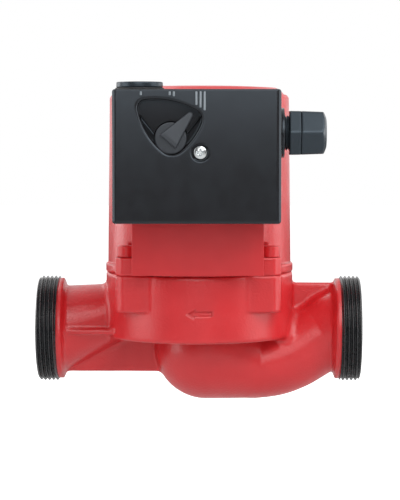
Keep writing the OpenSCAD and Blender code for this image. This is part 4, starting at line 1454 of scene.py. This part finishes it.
# %% The room around it
GLOSS_LEVEL = (0.12, 1.1)            # the dark room in front, the white paper behind
GLOSS_FROM, GLOSS_TO = -0.2, 0.8     # along Y, of the way a ray goes
world = bpy.data.worlds.new("studio")
bpy.context.scene.world = world
world.use_nodes = True
tree = world.node_tree
white = tree.nodes["Background"]
white.inputs["Color"].default_value = (1, 1, 1, 1)
seen, mirrored_ray = seen_directly(tree)
way = add(tree, "ShaderNodeTexCoord").outputs["Generated"]
way = add(tree, "ShaderNodeSeparateXYZ", Vector=way)
level = between(tree, way.outputs["Y"], *GLOSS_LEVEL, GLOSS_FROM, GLOSS_TO)
gloss = add(tree, "ShaderNodeMath", {"operation": "MULTIPLY"}, i0=mirrored_ray, i1=level)
strength = add(tree, "ShaderNodeMath", {"operation": "MAXIMUM"}, i0=seen, i1=gloss.outputs[0])
tree.links.new(strength.outputs[0], white.inputs["Strength"])
print("room goes from", GLOSS_LEVEL[0], "in front to", GLOSS_LEVEL[1], "behind")

# %% [markdown]
# ## The lamps
# Glossy things are lit with large soft lamps, because what shows on them is the mirror image of
# the lamp. The key stands high on the right. A wide box over the camera gives the face of the drum
# and the mouldings their sheen, and two tall ones at the sides draw the long edges of the pipe and
# of the cover. The rim lamps come from behind the sides and part the dark box from the paper. All
# of them stand equally far away, so a lamp is given by its turn, its rise, its size and its power.

# %% Lamps
from mathutils import Vector

MIDDLE = Vector(AXIS) + Vector((0, 0, 0.05))     # what the lamps point at
FAR = 1.3
LAMPS = {                            # turn, rise, width, height, power
    "key": (34, 42, 0.9, 0.8, 8.8),
    "front": (0, 21.5, 0.8, 0.78, 5.1),
    "right_side": (76, 14, 0.8, 1.5, 9.8),
    "right_rim": (116, 6, 0.5, 0.5, 1.8),
    "left_side": (-72, 14, 0.8, 1.5, 10.5),
    "left_rim": (-118, 6, 0.5, 0.5, 3.0),
    "left_back": (-140, 48, 0.7, 0.6, 3.0),
    "top": (180, 87, 1.1, 1.1, 2.4),
}


def softbox(name, turn, rise, width, height, power):
    """An area light, turn degrees to the right of the front and rise degrees up."""
    light = bpy.data.lights.new(name, "AREA")
    light.shape = "RECTANGLE"
    light.size, light.size_y = width, height
    light.energy = power
    lamp = bpy.data.objects.new(name, light)
    bpy.context.scene.collection.objects.link(lamp)
    turn, rise = np.radians(turn), np.radians(rise)
    way = Vector((np.sin(turn) * np.cos(rise), -np.cos(turn) * np.cos(rise), np.sin(rise)))
    lamp.location = MIDDLE + FAR * way
    lamp.rotation_euler = (-way).to_track_quat("-Z", "Y").to_euler()


for name, settings in LAMPS.items():
    softbox(name, *settings)
print(len(LAMPS), "lamps,", FAR, "m away")

# %% [markdown]
# ## The camera
# A long lens from a metre away, as product pictures are taken, so that near and far parts keep
# their sizes. It stands a little above the ports and looks slightly down and to the left. With
# the Standard view a paper white stays white and the reds keep their strength.

# %% Camera
LENS, SENSOR = 135.5, 36.0               # mm
CAMERA_AT = (0.0159, -1.057, 0.1074)     # metres from the motor axis
LOOK_LEFT, LOOK_DOWN = 0.0147, 0.0599    # radians
camera_data = bpy.data.cameras.new("camera")
camera = bpy.data.objects.new("camera", camera_data)
bpy.context.scene.collection.objects.link(camera)
camera_data.lens, camera_data.sensor_width = LENS, SENSOR
camera.location = Vector(CAMERA_AT) + Vector(AXIS)
ahead = Vector((-np.tan(LOOK_LEFT), 1, -np.tan(LOOK_DOWN) / np.cos(LOOK_LEFT)))
camera.rotation_euler = ahead.to_track_quat("-Z", "Y").to_euler()
bpy.context.scene.camera = camera
bpy.context.scene.view_settings.view_transform = "Standard"
print("camera at", tuple(round(v, 4) for v in camera.location))

# %% [markdown]
# ## Sizes and the end
# The dressed pump has to stay inside the box of the solids, because the joints and mounts are
# measured from them.

# %% Sizes and the end
visual_box = [list(corner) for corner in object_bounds()]
print("cad box", cad_box, "visual box", visual_box)
